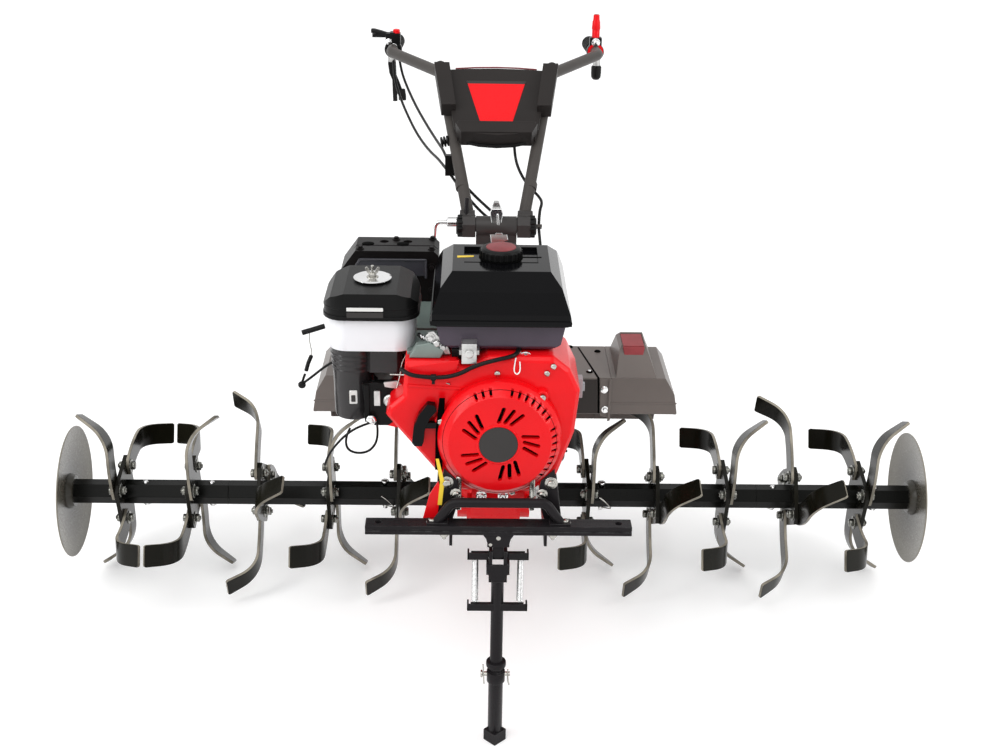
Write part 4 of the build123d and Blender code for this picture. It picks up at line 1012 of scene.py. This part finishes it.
def dress_console():
    low, high = 232, 404
    console_plate("console_face", "console_grey", 10, even(
        (0, low - 9), (40, low - 7), (spread(low) - 2, low), (spread(high) - 4, high), (60, high + 4),
        (0, high + 6),
    ), 6, edge=3.0, segments=4)
    arc, rise = [(0, 412), (45, 410.5), (86, 407)], [(86, 409.4), (45, 413), (0, 414.5)]
    console_plate("console_line", "cap_red", 13, even(*arc, *rise), 2.4)
    badge = even((61, 366), (34, 256), (28, 250))
    console_plate("console_badge", "red_paint", 15.8, badge, 1.2, edge=0.6, segments=3)
    console_plate("badge_band", "badge_grey", 15.8, even((63, 370), (60, 362)), 1.4, edge=0.3)
    with Form("console_wings", "console_grey", "handlebar", edge=5.0, segments=5) as wings:
        section = [(-13, 6), (-12, 24), (-4, 32), (6, 33), (14, 26), (17, 8), (14, -8), (-4, -10)]
        for side in (1, -1):
            wings.skin([
                [place(*on_bar(side * (spread(d) + u * size), d, h * size + 6)) for u, h in section]
                for d, size in ((346, 0.8), (360, 0.94), (402, 1.0), (424, 0.86), (432, 0.6))
            ])
    shelf = even((0, 197), (36, 200), (66, 208), (78, 226), (80, 236))
    console_plate("console_shelf", "console_grey", 4, shelf, 34, edge=1.5, segments=3)
    outer = [(-80, 226), (-68, 205), (-36, 196), (0, 193), (36, 196), (68, 205), (80, 226)]
    inner = [(x * 0.93, d + 5) for x, d in reversed(outer)]
    console_plate("shelf_lip", "rubber_black", 2, outer + inner, 8, edge=1.0)
    with Form("cable_knob", "rubber_black", "handlebar", edge=0.5) as knob:
        for k in range(3):
            at = (-114 + 6 * k, 343, 838 + 1.5 * k)
            knob.lathe(at, (1, 0, 0.2), [(8, 0), (11, 0.8), (11, 4), (8, 4.8)], 20)
        knob.bar([(-112, 343, 838), (-86, 343, 843)], 4.5)


def sweep(name, finish_name, section, stations, **edges):
    """A lever: one level section of (x, y) points carried through places."""
    Form(name, finish_name, "handlebar", **edges).skin([
        [place(x + u, y + v, z) for u, v in section] for x, y, z in stations
    ]).done()


def dress_controls():
    slope = (0, 1, GRIP_SLOPE)
    y = 805.0
    z = GRIP_Z + (y - GRIP_Y) * GRIP_SLOPE
    with Form("grip_rings", "grip_rubber", "handlebar", edge=0.8) as rings:
        for side in (1, -1):
            for k in range(13):
                ring_y = GRIP_END_Y - 132 + 10 * k
                at = (side * GRIP_X, ring_y, GRIP_Z + (ring_y - GRIP_Y) * GRIP_SLOPE)
                rings.lathe(at, slope, [(16.4, 0), (17.8, 1.2), (17.8, 4.8), (16.4, 6)], 28)
    Form("thumb_lever", "rubber_black", "handlebar", edge=2.5, segments=4).skin([
        [place(x, y + u, z + 26 + h + v) for u, v in ((-9, 0), (-6, 5), (6, 5), (9, 0), (6, -5), (-6, -5))]
        for x, h in ((-230, 0), (-246, 5), (-262, 10), (-278, 14), (-286, 14))
    ]).done()
    at, button = (-GRIP_X + 8, y - 4, z + 36), [(8, 0), (8, 7), (6.5, 9), (0, 9.6)]
    Form("stop_button", "red_paint", "handlebar", edge=0.8, segments=3).lathe(at, UP, button, 28).done()
    with Form("left_switch", "black_plastic", "handlebar", edge=2.0, segments=3) as switch:
        switch.brick(-GRIP_X - 17, -GRIP_X + 17, y - 13, y + 12, z + 12, z + 36)
        switch.lathe((-GRIP_X, y - 14, z), slope, [(17, 0), (20, 2), (20, 26), (17, 28)], 32)
    lever = [(-2, 0, 14), (-6, 9, 36), (-4, 25, 62), (5, 41, 90), (13, 52, 118)]
    sweep("hand_lever", "black_plastic", [(-7, -4), (7, -4), (8, 0), (7, 4), (-7, 4), (-8, 0)], [
        (x - GRIP_X, y + back, z - down) for x, back, down in lever
    ], edge=1.5, segments=3)
    with Form("lever_bracket", "alloy", "handlebar", edge=1.5, segments=3) as bracket:
        bracket.brick(-GRIP_X - 12, -GRIP_X + 6, y - 9, y + 7, z - 30, z - 8)
        bracket.bolt((-GRIP_X - 3, y - 9, z - 22), FRONT, 8, 4)
    arm = [(8, 0), (9, 2), (8, 12), (10, 22), (9, 26)]
    grip = [(0, 0), (7, 1), (11, 6), (12, 16), (12, 30), (9, 34)]
    at = (GRIP_X + 4, y - 4)
    Form("right_arm", "alloy", "handlebar", edge=1.0).lathe((*at, z - 34), UP, arm, 24).done()
    Form("right_arm_grip", "rubber_black", "handlebar", edge=1.0).lathe((*at, z - 66), UP, grip, 28).done()
    top = spot("lever_right", 0.5, 0.5, 1.0)
    at = (top.x / MM, (top.y - axle.y) / MM, top.z / MM)
    sleeve = [(9.5, -34), (10, -32), (9, -16), (7.6, -12), (7, -1), (5, 0), (0, 0)]
    Form("lever_sleeve", "red_paint", "handlebar", edge=0.8).lathe(at, UP, sleeve, 28).done()
    sweep("lever_tip", "rubber_black", [(-8, -5), (8, -5), (9.5, 0), (8, 5), (-8, 5), (-9.5, 0)], [
        (x - GRIP_X, y + back, z - down) for x, back, down in ((15, 46, 104), (17, 54, 122), (17, 58, 134))
    ], edge=2.0, segments=3)
    with Form("right_clamp", "black_plastic", "handlebar", edge=1.5, segments=3) as clamp:
        clamp.lathe((GRIP_X, y - 12, z), slope, [(17, 0), (20, 2), (20, 22), (17, 24)], 32)
        clamp.brick(GRIP_X - 14, GRIP_X + 14, y - 11, y + 11, z + 8, z + 32)
    with Form("clamp_bolts", "chrome", "handlebar", edge=0) as bolts:
        bolts.bolt((GRIP_X, y - 12, z + 22), FRONT, 11, 5)
        bolts.bolt((-GRIP_X - 10, y - 14, z + 18), FRONT, 8, 4)
        bolts.bolt((-GRIP_X + 2, y - 14, z + 6), FRONT, 9, 4)


# ---- stage ----
WHITE = (1, 1, 1, 1)
MIDDLE = Vector((0, 0, 0.5))  # what the lamps face


def soft_box(name, where, power):
    """An upright area lamp that faces the object."""
    data = bpy.data.lights.new(name, "AREA")
    data.shape = "RECTANGLE"
    data.size, data.size_y, data.energy = 0.8, 2.2, power
    lamp = put(name, data)
    lamp.location = where
    lamp.rotation_euler = (MIDDLE - Vector(where)).to_track_quat("-Z", "Y").to_euler()


def make_stage():
    scene.world = bpy.data.worlds.new("studio")
    g = Graph(scene.world, "Background")
    height = g.add("ShaderNodeSeparateXYZ", Vector=g.coords["Generated"]).outputs["Z"]
    level = g.tree.nodes.new("ShaderNodeMix")
    g.feed(level, {0: g.mirrored(), 2: g.remap(height, -0.1, 0.9, 0.35, 0.9), 3: 1.0})
    g.feed(g.shader, {"Strength": level.outputs[0], "Color": WHITE})
    sun = bpy.data.lights.new("key", "SUN")
    sun.energy, sun.angle = 1.1, radians(50)
    put("key", sun).rotation_euler = (radians(35), radians(-18), 0)
    soft_box("left_box", (-2.6, -1.6, 1.9), 30)
    soft_box("right_box", (2.6, -1.2, 1.9), 26)
    mesh = bpy.data.meshes.new("floor")
    mesh.from_pydata([(x, y, 0) for x, y in rect(-20, 20, -20, 20)], [], [(0, 1, 2, 3)])
    material = bpy.data.materials.new("floor")
    g = Graph(material)
    g.feed(g.shader, {"Base Color": (0.84, 0.84, 0.84, 1), "Roughness": 0.7})
    glow = g.add("ShaderNodeEmission", Color=WHITE, Strength=g.math("MULTIPLY", g.mirrored(), 0.25))
    both = g.feed(g.tree.nodes.new("ShaderNodeAddShader"), {0: g.shader.outputs[0], 1: glow.outputs[0]})
    g.feed(g.tree.nodes["Material Output"], {"Surface": both.outputs[0]})
    mesh.materials.append(material)
    put("floor", mesh)


def make_camera():
    data = bpy.data.cameras.new("camera")
    data.lens, data.sensor_width = 51.84, 36.0
    pitch, yaw, roll = radians(23.362), radians(1.228), radians(1.025)
    forward = Vector((sin(yaw) * cos(pitch), cos(yaw) * cos(pitch), -sin(pitch)))
    level = Vector((cos(yaw), -sin(yaw), 0))
    upright = level.cross(forward)
    right = level * cos(roll) + upright * sin(roll)
    above = upright * cos(roll) - level * sin(roll)
    turn = Matrix((right, above, -forward)).transposed()
    scene.camera = put("camera", data)
    scene.camera.matrix_world = Matrix.Translation(Vector((-0.0458, -2.8011, 1.5773))) @ turn.to_4x4()
    scene.view_settings.view_transform = "Standard"


dress_nodes()
add_cables()
dress_rotor()
dress_stand()
dress_frame()
dress_engine_front()
dress_engine_sides()
dress_air_cleaner()
dress_muffler()
dress_tank()
dress_fender("right", 1)
dress_fender("left", -1)
dress_handle()
dress_console()
dress_controls()
make_stage()
make_camera()
